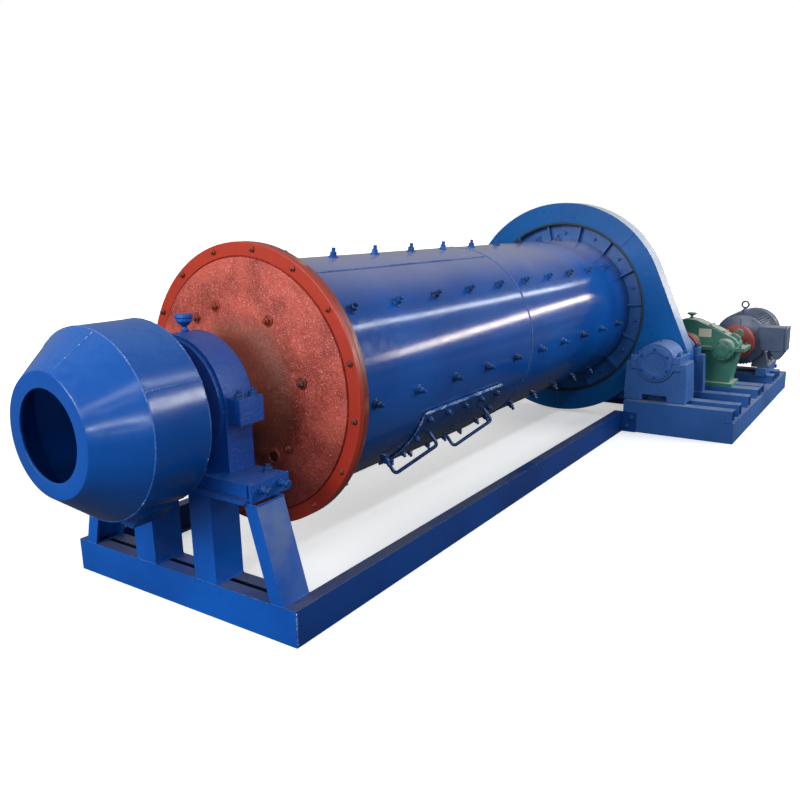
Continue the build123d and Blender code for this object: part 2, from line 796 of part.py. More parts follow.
def shaft_pockets():
    """Cutters for the reducer's two shafts."""
    slow = rod(reducer_x0 - 2 * reducer_cover_thickness, reducer_x0 + reducer_width / 2 + running_gap,
               pinion_shaft_radius + running_gap, pinion_axis_y, pinion_axis_z)
    fast = rod(reducer_x1 - reducer_width / 4 - running_gap, reducer_x1 + 2 * reducer_cover_thickness,
               input_shaft_radius + running_gap, input_axis_y, pinion_axis_z)
    return slow + fast


def reducer_inner_y():
    """Side of the reducer next to the mill."""
    return pinion_axis_y + reducer_wall_half


def reducer_outer_y():
    """Side of the reducer away from the mill."""
    return input_axis_y - reducer_small_radius - reducer_end_reach


def reducer_lower_case():
    """Cast lower case on its feet, with the split flange."""
    z0 = low_beam_top
    toe_y = input_axis_y - reducer_toe_reach
    y1 = reducer_inner_y() - reducer_flange_width
    body = section([(input_axis_y - reducer_small_radius, pinion_axis_z), (toe_y, z0), (y1, z0),
                    (y1, pinion_axis_z)], reducer_x0 + reducer_boss_reach, reducer_x1 - reducer_boss_reach)
    feet = block(reducer_x0 + reducer_flange_inset, reducer_x1 - reducer_flange_inset,
                 toe_y - reducer_foot_width / 2, y1 + reducer_foot_width / 2, z0, z0 + reducer_foot_height)
    flange = block(reducer_x0 + reducer_flange_inset, reducer_x1 - reducer_flange_inset,
                   reducer_outer_y(), reducer_inner_y(), pinion_axis_z - reducer_flange_height, pinion_axis_z)
    seats = rod(reducer_x0, reducer_x1, reducer_big_cover_radius, pinion_axis_y, pinion_axis_z)
    seats += rod(reducer_x0, reducer_x1, reducer_small_cover_radius, input_axis_y, pinion_axis_z)
    return body + feet + flange + keep_below(seats, pinion_axis_z) - shaft_pockets()


def reducer_upper_case():
    """Cast upper case: a hump over each gear with a straight slope between, and its flange."""
    spread = acos((reducer_big_radius - reducer_small_radius) / reducer_centres)
    touch = pi - spread
    big = (pinion_axis_y + reducer_big_radius * cos(touch), pinion_axis_z + reducer_big_radius * sin(touch))
    small = (input_axis_y + reducer_small_radius * cos(touch),
             pinion_axis_z + reducer_small_radius * sin(touch))
    outline = Pos(pinion_axis_y, pinion_axis_z) * Circle(reducer_big_radius)
    outline += Pos(input_axis_y, pinion_axis_z) * Circle(reducer_small_radius)
    outline += make_face(Polyline((pinion_axis_y, pinion_axis_z), big, small,
                                  (input_axis_y, pinion_axis_z), close=True))
    x0 = reducer_x0 + reducer_boss_reach
    hump = extrude(Plane.YZ.offset(x0) * outline, amount=reducer_width - 2 * reducer_boss_reach)
    flange = block(reducer_x0 + reducer_flange_inset, reducer_x1 - reducer_flange_inset,
                   reducer_outer_y(), reducer_inner_y(), pinion_axis_z, pinion_axis_z + reducer_flange_height)
    seats = rod(reducer_x0, reducer_x1, reducer_big_cover_radius, pinion_axis_y, pinion_axis_z)
    seats += rod(reducer_x0, reducer_x1, reducer_small_cover_radius, input_axis_y, pinion_axis_z)
    return keep_above(hump + seats, pinion_axis_z) + flange - shaft_pockets()


def reducer_bearing_covers():
    """Round covers bolted over the four bearings of the reducer."""
    covers = []
    for x0, x1 in ((reducer_x0 - reducer_cover_thickness, reducer_x0),
                   (reducer_x1, reducer_x1 + reducer_cover_thickness)):
        big = rod(x0, x1, reducer_big_cover_radius - overrun, pinion_axis_y, pinion_axis_z)
        small = rod(x0, x1, reducer_small_cover_radius - overrun, input_axis_y, pinion_axis_z)
        covers += [big - shaft_pockets(), small - shaft_pockets()]
    return covers


def reducer_breather():
    """Breather on top of the upper case."""
    x = (reducer_x0 + reducer_x1) / 2
    y = pinion_axis_y
    return upright_rod(x, y, pinion_axis_z + reducer_big_radius, breather_height, breather_radius)


def motor_body():
    """Motor body with its feet and lifting eye."""
    y = input_axis_y
    z = pinion_axis_z
    body = rod(motor_bell_x1, motor_body_x1, motor_body_radius, y, z)
    foot_x0 = motor_x0 + motor_foot_start
    foot_x1 = foot_x0 + motor_foot_length
    for side in (-1, 1):
        tip = y + side * motor_foot_half_width
        inner = tip - side * 2 * motor_foot_web
        body += block(foot_x0, foot_x1, inner, tip, motor_foot_z, motor_foot_z + motor_foot_thickness)
        web = section([(inner, motor_foot_z), (tip, motor_foot_z),
                       (tip - side * motor_foot_thickness, z - motor_body_radius / 2),
                       (inner, z - motor_body_radius / 2)], foot_x0, foot_x0 + motor_foot_web)
        body += web + Pos(motor_foot_length - motor_foot_web) * web
    return body


def motor_end_bells():
    """Cast end bells; the front one has the shaft's hole."""
    y = input_axis_y
    z = pinion_axis_z
    rim = motor_body_radius - motor_foot_thickness / 2
    nose = motor_body_radius * 2 / 3
    front = turned([(motor_x0, 0), (motor_x0, nose), (motor_bell_x1, rim), (motor_bell_x1, 0)], y, z)
    front -= rod(motor_x0 - overrun, motor_bell_x1 - overrun, motor_shaft_radius + running_gap, y, z)
    back = rod(motor_body_x1, motor_x1, rim, y, z)
    return front, back


def motor_fan_cowl():
    """Pressed cowl over the fan."""
    return rod(motor_x1, cowl_x1, motor_cowl_radius, input_axis_y, pinion_axis_z)


def motor_terminal_box():
    """Terminal box on the motor's outer side, with a funnel for the cable under it."""
    x0 = motor_bell_x1 - motor_bell_length
    y1 = input_axis_y - motor_body_radius + motor_foot_thickness
    body = rod(motor_bell_x1, motor_body_x1, motor_body_radius + seat_gap, input_axis_y, pinion_axis_z)
    bell_reach = motor_body_radius + seat_gap
    body += rod(motor_x0 - overrun, motor_bell_x1, bell_reach, input_axis_y, pinion_axis_z)
    y0 = y1 - terminal_box_width - motor_foot_thickness
    z0 = pinion_axis_z - terminal_box_drop
    box = block(x0, x0 + terminal_box_length, y1, y0, z0, z0 + terminal_box_height)
    funnel = section([(y0, z0), (y0 + terminal_funnel_width / 2, z0 - terminal_funnel_drop),
                      (y0 + terminal_funnel_width, z0)], x0, x0 + terminal_box_length)
    return box + funnel - body


def motor_slide_rails():
    """Two rails that carry the motor's feet."""
    x0 = motor_x0 + motor_foot_start - (rail_length - motor_foot_length) / 2
    rails = []
    for side in (-1, 1):
        y = input_axis_y + side * rail_spread
        rails.append(block(x0, x0 + rail_length, y - rail_width / 2, y + rail_width / 2,
                           low_beam_top, motor_foot_z))
    return rails


def gather(*shapes):
    """One compound from one or more solids."""
    solids = []
    for shape in shapes:
        solids += list(shape.solids())
    return solids[0] if len(solids) == 1 else Compound(children=solids)


guard = gear_guard()
front_cover = end_cover(feeder_x1, True)
back_cover = at_discharge(end_cover(bearing_x0 - bearing_cover_thickness - neck_clearance, False))

nodes = {
    "feed_cross_members": gather(*feed_cross_members()),
    "discharge_cross_members": gather(*[at_discharge(piece) for piece in feed_cross_members()]),
    "long_beam_drive_side": gather(long_beam(-1, drive_x0 - end_plate_thickness)),
    "drive_joint_plate": gather(drive_joint_plate()),
    "long_beam_far_side": gather(long_beam(1, frame_x1 - channel_web)),
    "feed_trestle": gather(feed_trestle()),
    "discharge_trestle": gather(at_discharge(feed_trestle())),
    "feed_bearing_housing": gather(feed_bearing_housing()),
    "feed_bearing_cap": gather(feed_bearing_cap()),
    "feed_grease_cup": gather(feed_grease_cup()),
    "feed_bearing_stops": gather(*feed_bearing_stops()),
    "discharge_bearing_housing": gather(at_discharge(feed_bearing_housing())),
    "discharge_bearing_cap": gather(at_discharge(feed_bearing_cap())),
    "discharge_grease_cup": gather(at_discharge(feed_grease_cup())),
    "discharge_bearing_stops": gather(*[at_discharge(stop) for stop in feed_bearing_stops()]),
    "drive_frame": gather(drive_frame()),
    "drive_cross_beams": gather(*drive_cross_beams()),
    "pinion_housing_front": gather(pinion_housing(housing_x0, housing_x1)),
    "pinion_cap_front": gather(pinion_cap(housing_x0, housing_x1)),
    "pinion_housing_rear": gather(pinion_housing(rear_housing_x0, rear_housing_x1)),
    "pinion_cap_rear": gather(pinion_cap(rear_housing_x0, rear_housing_x1)),
    "pinion_bearing_covers": gather(*pinion_bearing_covers()),
    "gear_guard_upper": gather(keep_above(guard, axis_height)),
    "gear_guard_lower": gather(gear_guard_lower(guard)),
    "reducer_lower_case": gather(reducer_lower_case()),
    "reducer_upper_case": gather(reducer_upper_case()),
    "reducer_bearing_covers": gather(*reducer_bearing_covers()),
    "reducer_breather": gather(reducer_breather()),
    "motor_body": gather(motor_body()),
    "motor_end_bells": gather(*motor_end_bells()),
    "motor_fan_cowl": gather(motor_fan_cowl()),
    "motor_terminal_box": gather(motor_terminal_box()),
    "motor_slide_rails": gather(*motor_slide_rails()),
    "feeder_shell": gather(feeder_shell()),
    "feeder_scoop": gather(feeder_scoop()),
    "feed_end_cover": gather(front_cover),
    "drum_shell": gather(drum_shell()),
    "shell_flanges": gather(*shell_flanges()),
    "manhole_door": gather(manhole_door()),
    "ring_gear": gather(ring_gear()),
    "discharge_end_cover": gather(back_cover),
    "pinion": gather(pinion()),
    "pinion_shaft": gather(pinion_shaft()),
    "slow_coupling": gather(*coupling(slow_joint_x, pinion_axis_y, slow_coupling_radius, slow_coupling_half,
                                      slow_hub_radius, slow_hub_length, pinion_shaft_radius,
                                      pinion_shaft_radius)),
    "reducer_output_shaft": gather(reducer_output_shaft()),
    "reducer_input_shaft": gather(reducer_input_shaft()),
    "fast_coupling": gather(*coupling(fast_joint_x, input_axis_y, fast_coupling_radius, fast_coupling_half,
                                      fast_hub_radius, fast_hub_length, input_shaft_radius,
                                      motor_shaft_radius)),
    "motor_shaft": gather(motor_shaft()),
}

os.makedirs("parts", exist_ok=True)
for name, shape in nodes.items():
    export_step(shape, f"parts/{name}.step")
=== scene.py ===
"""Looks of a ball mill: a drum on two trestles, with its gear drive on a frame of its own.

Lengths are metres in the frame of the CAD part: X along the mill axis from the feed end,
Z up, the drive on -Y. Angles round the mill axis are counted from -Y towards +Z.
"""
from math import cos, pi, radians, sin, sqrt
import bmesh
import bpy
import numpy as np
from mathutils import Matrix, Quaternion, Vector


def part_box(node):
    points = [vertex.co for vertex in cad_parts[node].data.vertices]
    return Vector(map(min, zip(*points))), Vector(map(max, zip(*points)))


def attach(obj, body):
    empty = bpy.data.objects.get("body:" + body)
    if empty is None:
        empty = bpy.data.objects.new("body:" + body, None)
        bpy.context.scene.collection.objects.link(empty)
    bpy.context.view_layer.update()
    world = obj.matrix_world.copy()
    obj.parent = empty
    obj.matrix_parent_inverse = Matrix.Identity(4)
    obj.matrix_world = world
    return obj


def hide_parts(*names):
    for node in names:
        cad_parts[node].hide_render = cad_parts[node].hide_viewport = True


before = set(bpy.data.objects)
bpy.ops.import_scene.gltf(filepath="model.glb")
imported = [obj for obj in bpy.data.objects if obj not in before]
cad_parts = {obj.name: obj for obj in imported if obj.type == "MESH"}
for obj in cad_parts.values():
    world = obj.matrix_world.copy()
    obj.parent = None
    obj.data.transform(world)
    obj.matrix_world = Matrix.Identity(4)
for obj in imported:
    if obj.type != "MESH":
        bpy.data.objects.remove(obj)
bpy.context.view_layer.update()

# Mill frame
# Rolled steel channels welded into a long rectangle that lies on the ground. Blue enamel over
# mill scale: yard dust lies on the flanges, and the corners are chipped down to a pale primer.
ENAMEL_BLUE = (0.0010, 0.090, 0.440, 1)
ENAMEL_NAVY = (0.0008, 0.064, 0.330, 1)
YARD_DUST = (0.100, 0.125, 0.220, 1)
PRIMER_PALE = (0.22, 0.36, 0.58, 1)
# Near black laid on faces that turn down: painted shade.
UNDERSIDE_SHADE = (0.004, 0.014, 0.035, 1)
WEB_SHADE_BLACK = (0.003, 0.006, 0.012, 1)
GRIME = (0.060, 0.066, 0.100, 1)
# Pale blue-white dots on beads: bare metal, and painted glints too.
BARE_METAL_GLINT = (0.52, 0.66, 0.82, 1)
EDGE_REACH = 0.0020
CROSS_RIM = 0.007
BEAD_RADIUS = 0.0030
RIPPLE = 0.0055
RIPPLE_SWELL = 0.22
WANDER_SWELL = 0.10
WANDER_LENGTHS = (0.017, 0.041, 0.113)
THIN_END = 0.15
MERGE = 1e-6
CROSS_LOW, CROSS_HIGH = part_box("feed_cross_members")
FAR_CROSS_LOW, FAR_CROSS_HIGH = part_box("discharge_cross_members")
BEAM_LOW, BEAM_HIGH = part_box("long_beam_far_side")
CHANNEL_TOP = CROSS_HIGH.z
BEAM_FLANGE = BEAM_HIGH.y - BEAM_LOW.y


def feed(tree, socket, value):
    """Links an output to a socket, or sets the socket's value."""
    if isinstance(value, bpy.types.NodeSocket):
        tree.links.new(value, socket)
    else:
        socket.default_value = value


def node_of(tree, kind, **settings):
    """Shader node with its inputs fed, or its properties set, by name."""
    node = tree.nodes.new(kind)
    for name, value in settings.items():
        socket = name.replace("_", " ")
        if socket in node.inputs:
            feed(tree, node.inputs[socket], value)
        else:
            setattr(node, name, value)
    return node


def maths(tree, operation, first, second=0.0, clamp=False):
    """Result of an operation on two values."""
    node = node_of(tree, "ShaderNodeMath", operation=operation, use_clamp=clamp)
    feed(tree, node.inputs[0], first)
    feed(tree, node.inputs[1], second)
    return node.outputs[0]


def product(tree, first, *others):
    """Product of values."""
    for value in others:
        first = maths(tree, "MULTIPLY", first, value)
    return first


def total(tree, first, *others):
    """Sum of values."""
    for value in others:
        first = maths(tree, "ADD", first, value)
    return first


def blend(tree, factor, low, high):
    """Colour that goes from low to high with the factor; inputs 6 and 7 of the node are its colours."""
    node = node_of(tree, "ShaderNodeMix", data_type="RGBA")
    for number, value in ((0, factor), (6, low), (7, high)):
        feed(tree, node.inputs[number], value)
    return node.outputs[2]


def ease(tree, value, low, high):
    """Smooth step from 0 at low to 1 at high."""
    return node_of(tree, "ShaderNodeMapRange", interpolation_type="SMOOTHSTEP", Value=value, From_Min=low,
                   From_Max=high).outputs[0]


def mottle(tree, where, per_metre, detail=3.0):
    """Cloudy value from about 0.2 to 0.8 with so many spots a metre."""
    return node_of(tree, "ShaderNodeTexNoise", Scale=per_metre, Detail=detail, Vector=where).outputs["Fac"]


def coordinates(tree):
    """Outputs of a coordinate node: finishes read Object and Normal."""
    return tree.nodes.new("ShaderNodeTexCoord").outputs


def parts_of(tree, vector):
    """X, Y and Z of a vector."""
    return node_of(tree, "ShaderNodeSeparateXYZ", Vector=vector).outputs


def new_group(name, inputs, outputs):
    """Empty node group with its sockets: names with C for a colour, V for a vector, F for a value."""
    kinds = {"C": "NodeSocketColor", "V": "NodeSocketVector", "F": "NodeSocketFloat"}
    tree = bpy.data.node_groups.new(name, "ShaderNodeTree")
    for direction, sockets in (("INPUT", inputs), ("OUTPUT", outputs)):
        for kind, socket in sockets:
            tree.interface.new_socket(socket, in_out=direction, socket_type=kinds[kind])
    given = tree.nodes.new("NodeGroupInput").outputs
    result = tree.nodes.new("NodeGroupOutput").inputs
    return tree, given, result


def build_worn_enamel():
    """Sprayed enamel: clouds between two shades, dust on what faces up, painted shade on undersides, chips on
    edges.

    An edge is where the normal rounded over a few millimetres leaves the face's own normal.
    """
    tree, given, result = new_group(
        "worn_enamel",
        (("C", "Paint"), ("C", "Shade"), ("C", "Dust Colour"), ("C", "Chip Colour"), ("F", "Dust"),
         ("F", "Chips"), ("F", "Soot"), ("F", "Gloss")),
        (("C", "Colour"), ("F", "Roughness"), ("F", "Skin"), ("V", "Rounded")))
    place = coordinates(tree)
    where = place["Object"]
    facing = parts_of(tree, place["Normal"])
    cloud = mottle(tree, where, 2.1, 4.0)
    spots = mottle(tree, where, 34.0, 4.0)
    peel = mottle(tree, where, 330.0, 2.0)
    body = blend(tree, ease(tree, cloud, 0.36, 0.64), given["Shade"], given["Paint"])
    # Painted shade: faces that turn down are darkened by the Undershade share.
    under = product(tree, ease(tree, facing["Z"], -0.15, -0.95), given["Soot"])
    body = blend(tree, under, body, UNDERSIDE_SHADE)
    settled = ease(tree, total(tree, cloud, product(tree, spots, 0.5)), 0.45, 0.95)
    dusty = product(tree, ease(tree, facing["Z"], 0.45, 0.98), settled)
    dusty = maths(tree, "MULTIPLY", dusty, given["Dust"], clamp=True)
    colour = blend(tree, dusty, body, given["Dust Colour"])
    rounded_normal = node_of(tree, "ShaderNodeBevel", samples=4, Radius=EDGE_REACH).outputs[0]
    flat_normal = tree.nodes.new("ShaderNodeNewGeometry").outputs["Normal"]
    turn = node_of(tree, "ShaderNodeVectorMath", operation="DOT_PRODUCT")
    feed(tree, turn.inputs[0], rounded_normal)
    feed(tree, turn.inputs[1], flat_normal)
    edge = ease(tree, maths(tree, "SUBTRACT", 1.0, turn.outputs["Value"]), 0.01, 0.10)
    chipped = product(tree, edge, ease(tree, mottle(tree, where, 60.0, 5.0), 0.54, 0.68))
    chipped = maths(tree, "MULTIPLY", chipped, given["Chips"], clamp=True)
    feed(tree, result["Colour"], blend(tree, chipped, colour, given["Chip Colour"]))
    uneven = product(tree, maths(tree, "SUBTRACT", spots, 0.5), 0.20)
    matt = total(tree, product(tree, dusty, 0.30), uneven)
    feed(tree, result["Roughness"], maths(tree, "ADD", given["Gloss"], matt, clamp=True))
    skin = total(tree, product(tree, spots, 0.6), product(tree, peel, 0.25))
    feed(tree, result["Skin"], maths(tree, "SUBTRACT", skin, product(tree, chipped, 0.5)))
    feed(tree, result["Rounded"], rounded_normal)
    return tree


WORN_ENAMEL = build_worn_enamel()


def new_material(name):
    """Material, its node tree and the inputs of its Principled BSDF."""
    material = bpy.data.materials.new(name)
    material.use_nodes = True
    return material, material.node_tree, material.node_tree.nodes["Principled BSDF"].inputs


# undershade is the share of painted shade laid on faces that turn down.
def enamel(name, paint, shade, dust=0.6, chips=0.6, soot=0.5, gloss=0.32, skin=0.0006,
           dust_colour=YARD_DUST, chip_colour=PRIMER_PALE, specular=0.5):
    """Enamelled metal: gloss is the roughness of the clean paint, skin the depth of its orange peel."""
    material, tree, surface = new_material(name)
    surface["Specular IOR Level"].default_value = specular
    coat = node_of(tree, "ShaderNodeGroup", node_tree=WORN_ENAMEL, Paint=paint, Shade=shade, Dust=dust,
                   Dust_Colour=dust_colour, Chips=chips, Chip_Colour=chip_colour, Soot=soot,
                   Gloss=gloss).outputs
    relief = node_of(tree, "ShaderNodeBump", name="relief", Distance=skin, Strength=1.0, Height=coat["Skin"],
                     Normal=coat["Rounded"])
    feed(tree, surface["Base Color"], coat["Colour"])
    feed(tree, surface["Roughness"], coat["Roughness"])
    feed(tree, surface["Normal"], relief.outputs["Normal"])
    return material


def laid_over(material, mask, colour):
    """The finish with a colour laid over it where the mask is 1."""
    tree = material.node_tree
    socket = tree.nodes["Principled BSDF"].inputs["Base Color"]
    feed(tree, socket, blend(tree, mask, socket.links[0].from_socket, colour))
    return material


def finish(material, *names):
    """Gives CAD nodes their finish."""
    for name in names:
        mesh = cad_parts[name].data
        mesh.materials.clear()
        mesh.materials.append(material)


def build_between_webs():
    """Mask of the upright faces that lie inside a pair of channels, from the station Low to High."""
    tree, given, result = new_group("between_webs", (("F", "Low"), ("F", "High")), (("F", "Mask"),))
    place = coordinates(tree)
    station = parts_of(tree, place["Object"])["X"]
    past_low = maths(tree, "SUBTRACT", station, given["Low"])
    short_of_high = maths(tree, "SUBTRACT", given["High"], station)
    inside = product(tree, ease(tree, past_low, CROSS_RIM / 2, CROSS_RIM),
                     ease(tree, short_of_high, CROSS_RIM / 2, CROSS_RIM))
    level = maths(tree, "ABSOLUTE", parts_of(tree, place["Normal"])["Z"])
    feed(tree, result["Mask"], product(tree, inside, ease(tree, level, 0.7, 0.3)))
    return tree


BETWEEN_WEBS = build_between_webs()


def cross_member_finish(name, low, high):
    """Channel enamel with painted shade: near black on the upright faces inside the pair of channels."""
    material = enamel(name, ENAMEL_BLUE, ENAMEL_NAVY, dust=0.9, chips=0.7, dust_colour=GRIME)
    # Painted shade: the webs between the pair stand in shadow, so they are laid over near black.
    inside = node_of(material.node_tree, "ShaderNodeGroup", node_tree=BETWEEN_WEBS, Low=low, High=high)
    return laid_over(material, inside.outputs["Mask"], WEB_SHADE_BLACK)


finish(cross_member_finish("feed_cross_blue", CROSS_LOW.x, CROSS_HIGH.x), "feed_cross_members")
finish(cross_member_finish("discharge_cross_blue", FAR_CROSS_LOW.x, FAR_CROSS_HIGH.x),
       "discharge_cross_members")
# Painted shade: the long beams and the joint plate take a darker copy of the channel enamel, for faces turned
# away from the lamps.
SHADED_BEAM_BLUE = enamel("beam_blue_shaded", (0.0008, 0.048, 0.250, 1), (0.0006, 0.034, 0.180, 1), dust=0.9, chips=0.7,
                   dust_colour=GRIME)
finish(SHADED_BEAM_BLUE, "long_beam_drive_side", "long_beam_far_side", "drive_joint_plate")


def grid_faces(rows, columns, close_rows=False, close_columns=False):
    """Quads of a grid numbered row by row; a closed direction joins its last line to its first."""
    index = np.arange(rows * columns).reshape(rows, columns)
    if close_rows:
        index = np.vstack((index, index[:1]))
    if close_columns:
        index = np.hstack((index, index[:, :1]))
    return np.stack((index[:-1, :-1], index[:-1, 1:], index[1:, 1:], index[1:, :-1]), axis=-1).reshape(-1, 4)


def capped_rings(rings, sides):
    """Faces of rings of points stacked on each other: the wall between them and a flat cap at both ends."""
    cap = np.arange(sides)[None]
    return [grid_faces(rings, sides, close_columns=True), cap, cap + (rings - 1) * sides]


def joined(shapes):
    """One shape from several: points below each other, and each block of faces moved by the points before."""
    points, faces, offset = [], [], 0
    for shape_points, shape_faces in shapes:
        flat = np.asarray(shape_points, float).reshape(-1, 3)
        points.append(flat)
        faces += [np.asarray(block) + offset for block in shape_faces]
        offset += len(flat)
    return np.vstack(points), faces


def placed(name, mesh, body, node=None):
    """Object of a mesh that rides on a body, and takes the place of a CAD node where one is named."""
    piece = bpy.data.objects.new(name, mesh)
    bpy.context.scene.collection.objects.link(piece)
    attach(piece, body)
    if node:
        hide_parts(node)
    return piece


def new_piece(name, shape, material, body, node=None, crease=35.0):
    """Piece from a shape, with doubles merged, faces turned outwards and edges sharp beyond the crease."""
    points, faces = shape
    mesh = bpy.data.meshes.new(name)
    mesh.from_pydata(np.asarray(points, float).reshape(-1, 3).tolist(), [],
                     [face for block in faces for face in np.asarray(block).tolist()])
    build = bmesh.new()
    build.from_mesh(mesh)
    bmesh.ops.remove_doubles(build, verts=build.verts, dist=MERGE)
    bmesh.ops.recalc_face_normals(build, faces=build.faces)
    build.to_mesh(mesh)
    build.free()
    mesh.shade_smooth()
    mesh.set_sharp_from_angle(angle=radians(crease))
    mesh.materials.append(material)
    return placed(name, mesh, body, node)


def reach_along(path):
    """Length of a path up to each of its points."""
    return np.concatenate(((0,), np.cumsum(np.linalg.norm(np.diff(path, axis=0), axis=1))))


def along(corners, closed=False):
    """Points at even steps, three to a ripple, along the straight runs between corners."""
    corners = np.asarray(corners, float)
    if closed:
        corners = np.vstack((corners, corners[:1]))
    reach = reach_along(corners)
    at = np.linspace(0, reach[-1], max(4, int(reach[-1] / (RIPPLE / 3))), endpoint=not closed)
    return np.stack([np.interp(at, reach, corners[:, axis]) for axis in range(3)], axis=-1)


def unit(vectors):
    """Vectors divided by their lengths."""
    return vectors / np.linalg.norm(vectors, axis=-1, keepdims=True)


def bead(path, out, radius=BEAD_RADIUS, closed=False, seed=1, sides=6):
    """Weld bead, sunk half in the seam: a tube whose radius swells once a ripple and wanders."""
    tangent = np.roll(path, -1, axis=0) - np.roll(path, 1, axis=0) if closed else np.gradient(path, axis=0)
    tangent = unit(tangent)
    side = unit(np.cross(tangent, np.broadcast_to(out, path.shape)))
    up = np.cross(side, tangent)
    reach = reach_along(path)
    rng = np.random.default_rng(seed)
    wander = sum(np.sin(reach * 2 * pi / length + rng.uniform(0, 2 * pi)) for length in WANDER_LENGTHS)
    size = radius * (1 + RIPPLE_SWELL * np.sin(reach * 2 * pi / RIPPLE) + WANDER_SWELL * wander)
    turn = np.arange(sides) * 2 * pi / sides
    ring = np.cos(turn)[None, :, None] * up[:, None] + np.sin(turn)[None, :, None] * side[:, None]
    if closed:
        return path[:, None] + size[:, None, None] * ring, [grid_faces(len(path), sides, True, True)]
    size *= np.clip(np.minimum(reach, reach[-1] - reach) / (2 * radius), THIN_END, 1)
    return path[:, None] + size[:, None, None] * ring, capped_rings(len(path), sides)


def build_knocked_crests():
    """Mask of the dots where a bead has lost its paint, in runs; more is gone as Knocked rises."""
    tree, given, result = new_group("knocked_crests", (("F", "Knocked"),), (("F", "Mask"),))
    where = coordinates(tree)["Object"]
    dots = ease(tree, total(tree, mottle(tree, where, 130.0, 3.0), given["Knocked"]), 0.62, 0.72)
    runs = ease(tree, total(tree, mottle(tree, where, 11.0, 3.0), given["Knocked"]), 0.56, 0.70)
    feed(tree, result["Mask"], product(tree, dots, runs))
    return tree


KNOCKED_CRESTS = build_knocked_crests()


def chipped_bead(name, knocked):
    """Weld bead with its paint knocked off the crests of the ripples: pale blue-white dots that are bare
    metal and painted glints in one.
    """
    material = enamel(name, (0.050, 0.165, 0.500, 1), (0.012, 0.100, 0.400, 1), dust=0.2, chips=0.0,
                      gloss=0.22, skin=0.0015)
    dots = node_of(material.node_tree, "ShaderNodeGroup", node_tree=KNOCKED_CRESTS, Knocked=knocked)
    return laid_over(material, dots.outputs["Mask"], BARE_METAL_GLINT)


def frame_corner_beads():
    """Beads up the outer corners and along the butt joints of the flanges at the four frame corners."""
    beads = []
    inset = 0.004
    foot = 0.006
    seam = CROSS_HIGH.y - BEAM_FLANGE
    width = CROSS_HIGH.x - CROSS_LOW.x
    for number, (x, toward) in enumerate(((CROSS_LOW.x, 1), (FAR_CROSS_HIGH.x, -1))):
        for side in (-1, 1):
            corner = [(x + toward * inset, side * CROSS_HIGH.y, z) for z in (foot, CHANNEL_TOP - inset)]
            beads.append(bead(along(corner), (-toward, side, 0), seed=number + 5))
            butt = [(x + toward * run, side * seam, CHANNEL_TOP) for run in (inset, width)]
            beads.append(bead(along(butt), (0, 0, 1), seed=number + 9))
    return joined(beads)


WELD_BLUE = enamel("weld_blue", ENAMEL_BLUE, ENAMEL_NAVY, dust=0.3, chips=0.0, gloss=0.26, skin=0.0010)
new_piece("frame_welds", frame_corner_beads(), chipped_bead("frame_bead", 0.14), "base")

# Trestles
# At each end a thick plate on two box posts, welded from channels toe to toe, and two channel
# legs that lean in from the frame. All joints are fillet welds, painted over with the frame.
POST_INNER = 0.105
POST_OUTER = 0.211
LEG_FOOT = 0.516
LEG_HEAD = 0.426
LEG_FLANGE = 0.053
PLATE_THICK = 0.012
PLATE_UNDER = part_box("feed_trestle")[1].z - PLATE_THICK
CLINGING_DUST = (0.105, 0.165, 0.330, 1)


def trestle_finish():
    """Channel enamel; pale yard dust clings in patches to the outer sides of the two leaning legs."""
    material = enamel("trestle_blue", ENAMEL_BLUE, ENAMEL_NAVY, dust=0.9, chips=0.7, dust_colour=GRIME)
    tree = material.node_tree
    place = coordinates(tree)
    height = parts_of(tree, place["Object"])["Z"]
    facing = parts_of(tree, place["Normal"])["Z"]
    leaning = product(tree, ease(tree, facing, 0.08, 0.16), ease(tree, facing, 0.60, 0.45))
    patches = ease(tree, mottle(tree, place["Object"], 11.0, 6.0), 0.22, 0.74)
    higher = total(tree, 0.35, product(tree, ease(tree, height, 0.15, 0.40), 0.65))
    return laid_over(material, product(tree, leaning, patches, higher), CLINGING_DUST)


finish(trestle_finish(), "feed_trestle", "discharge_trestle")


def trestle_beads():
    """Bead round the foot and the head of each post and leg, a rectangle at each height."""
    beads = []
    for x0, x1 in ((CROSS_LOW.x, CROSS_HIGH.x), (FAR_CROSS_LOW.x, FAR_CROSS_HIGH.x)):
        for side in (-1, 1):
            for z, leg in ((CHANNEL_TOP, LEG_FOOT), (PLATE_UNDER, LEG_HEAD)):
                for near, far in ((POST_INNER, POST_OUTER), (leg - LEG_FLANGE, leg)):
                    loop = [(x, side * y, z) for x, y in ((x0, near), (x1, near), (x1, far), (x0, far))]
                    beads.append(bead(along(loop, closed=True), (0, 0, 1), closed=True, seed=len(beads)))
    return joined(beads)


new_piece("trestle_welds", trestle_beads(), WELD_BLUE, "base")

# Main bearings
# Grey iron castings: a pillow block with a round cap, split at the shaft and drawn together by two
# bolts at each ear. Sand-cast skin under thick blue paint; a screw-down grease cup sits on the cap.
CAST_CREASE = radians(40)
FLAT_LIMIT = radians(0.6)
BOLT_ROW = 0.030
EAR_BOLT_Y = 0.277
EAR_TOP = 0.044
FOOT_BOLT_X = 0.022
FOOT_BOLT_Y = 0.334
FOOT_TOP = 0.048
STOP_PLATE_Y = 0.397
JACK_HEIGHT = 0.024
UPRIGHT = {"axis": (0, 0, 1), "start": (1, 0, 0)}


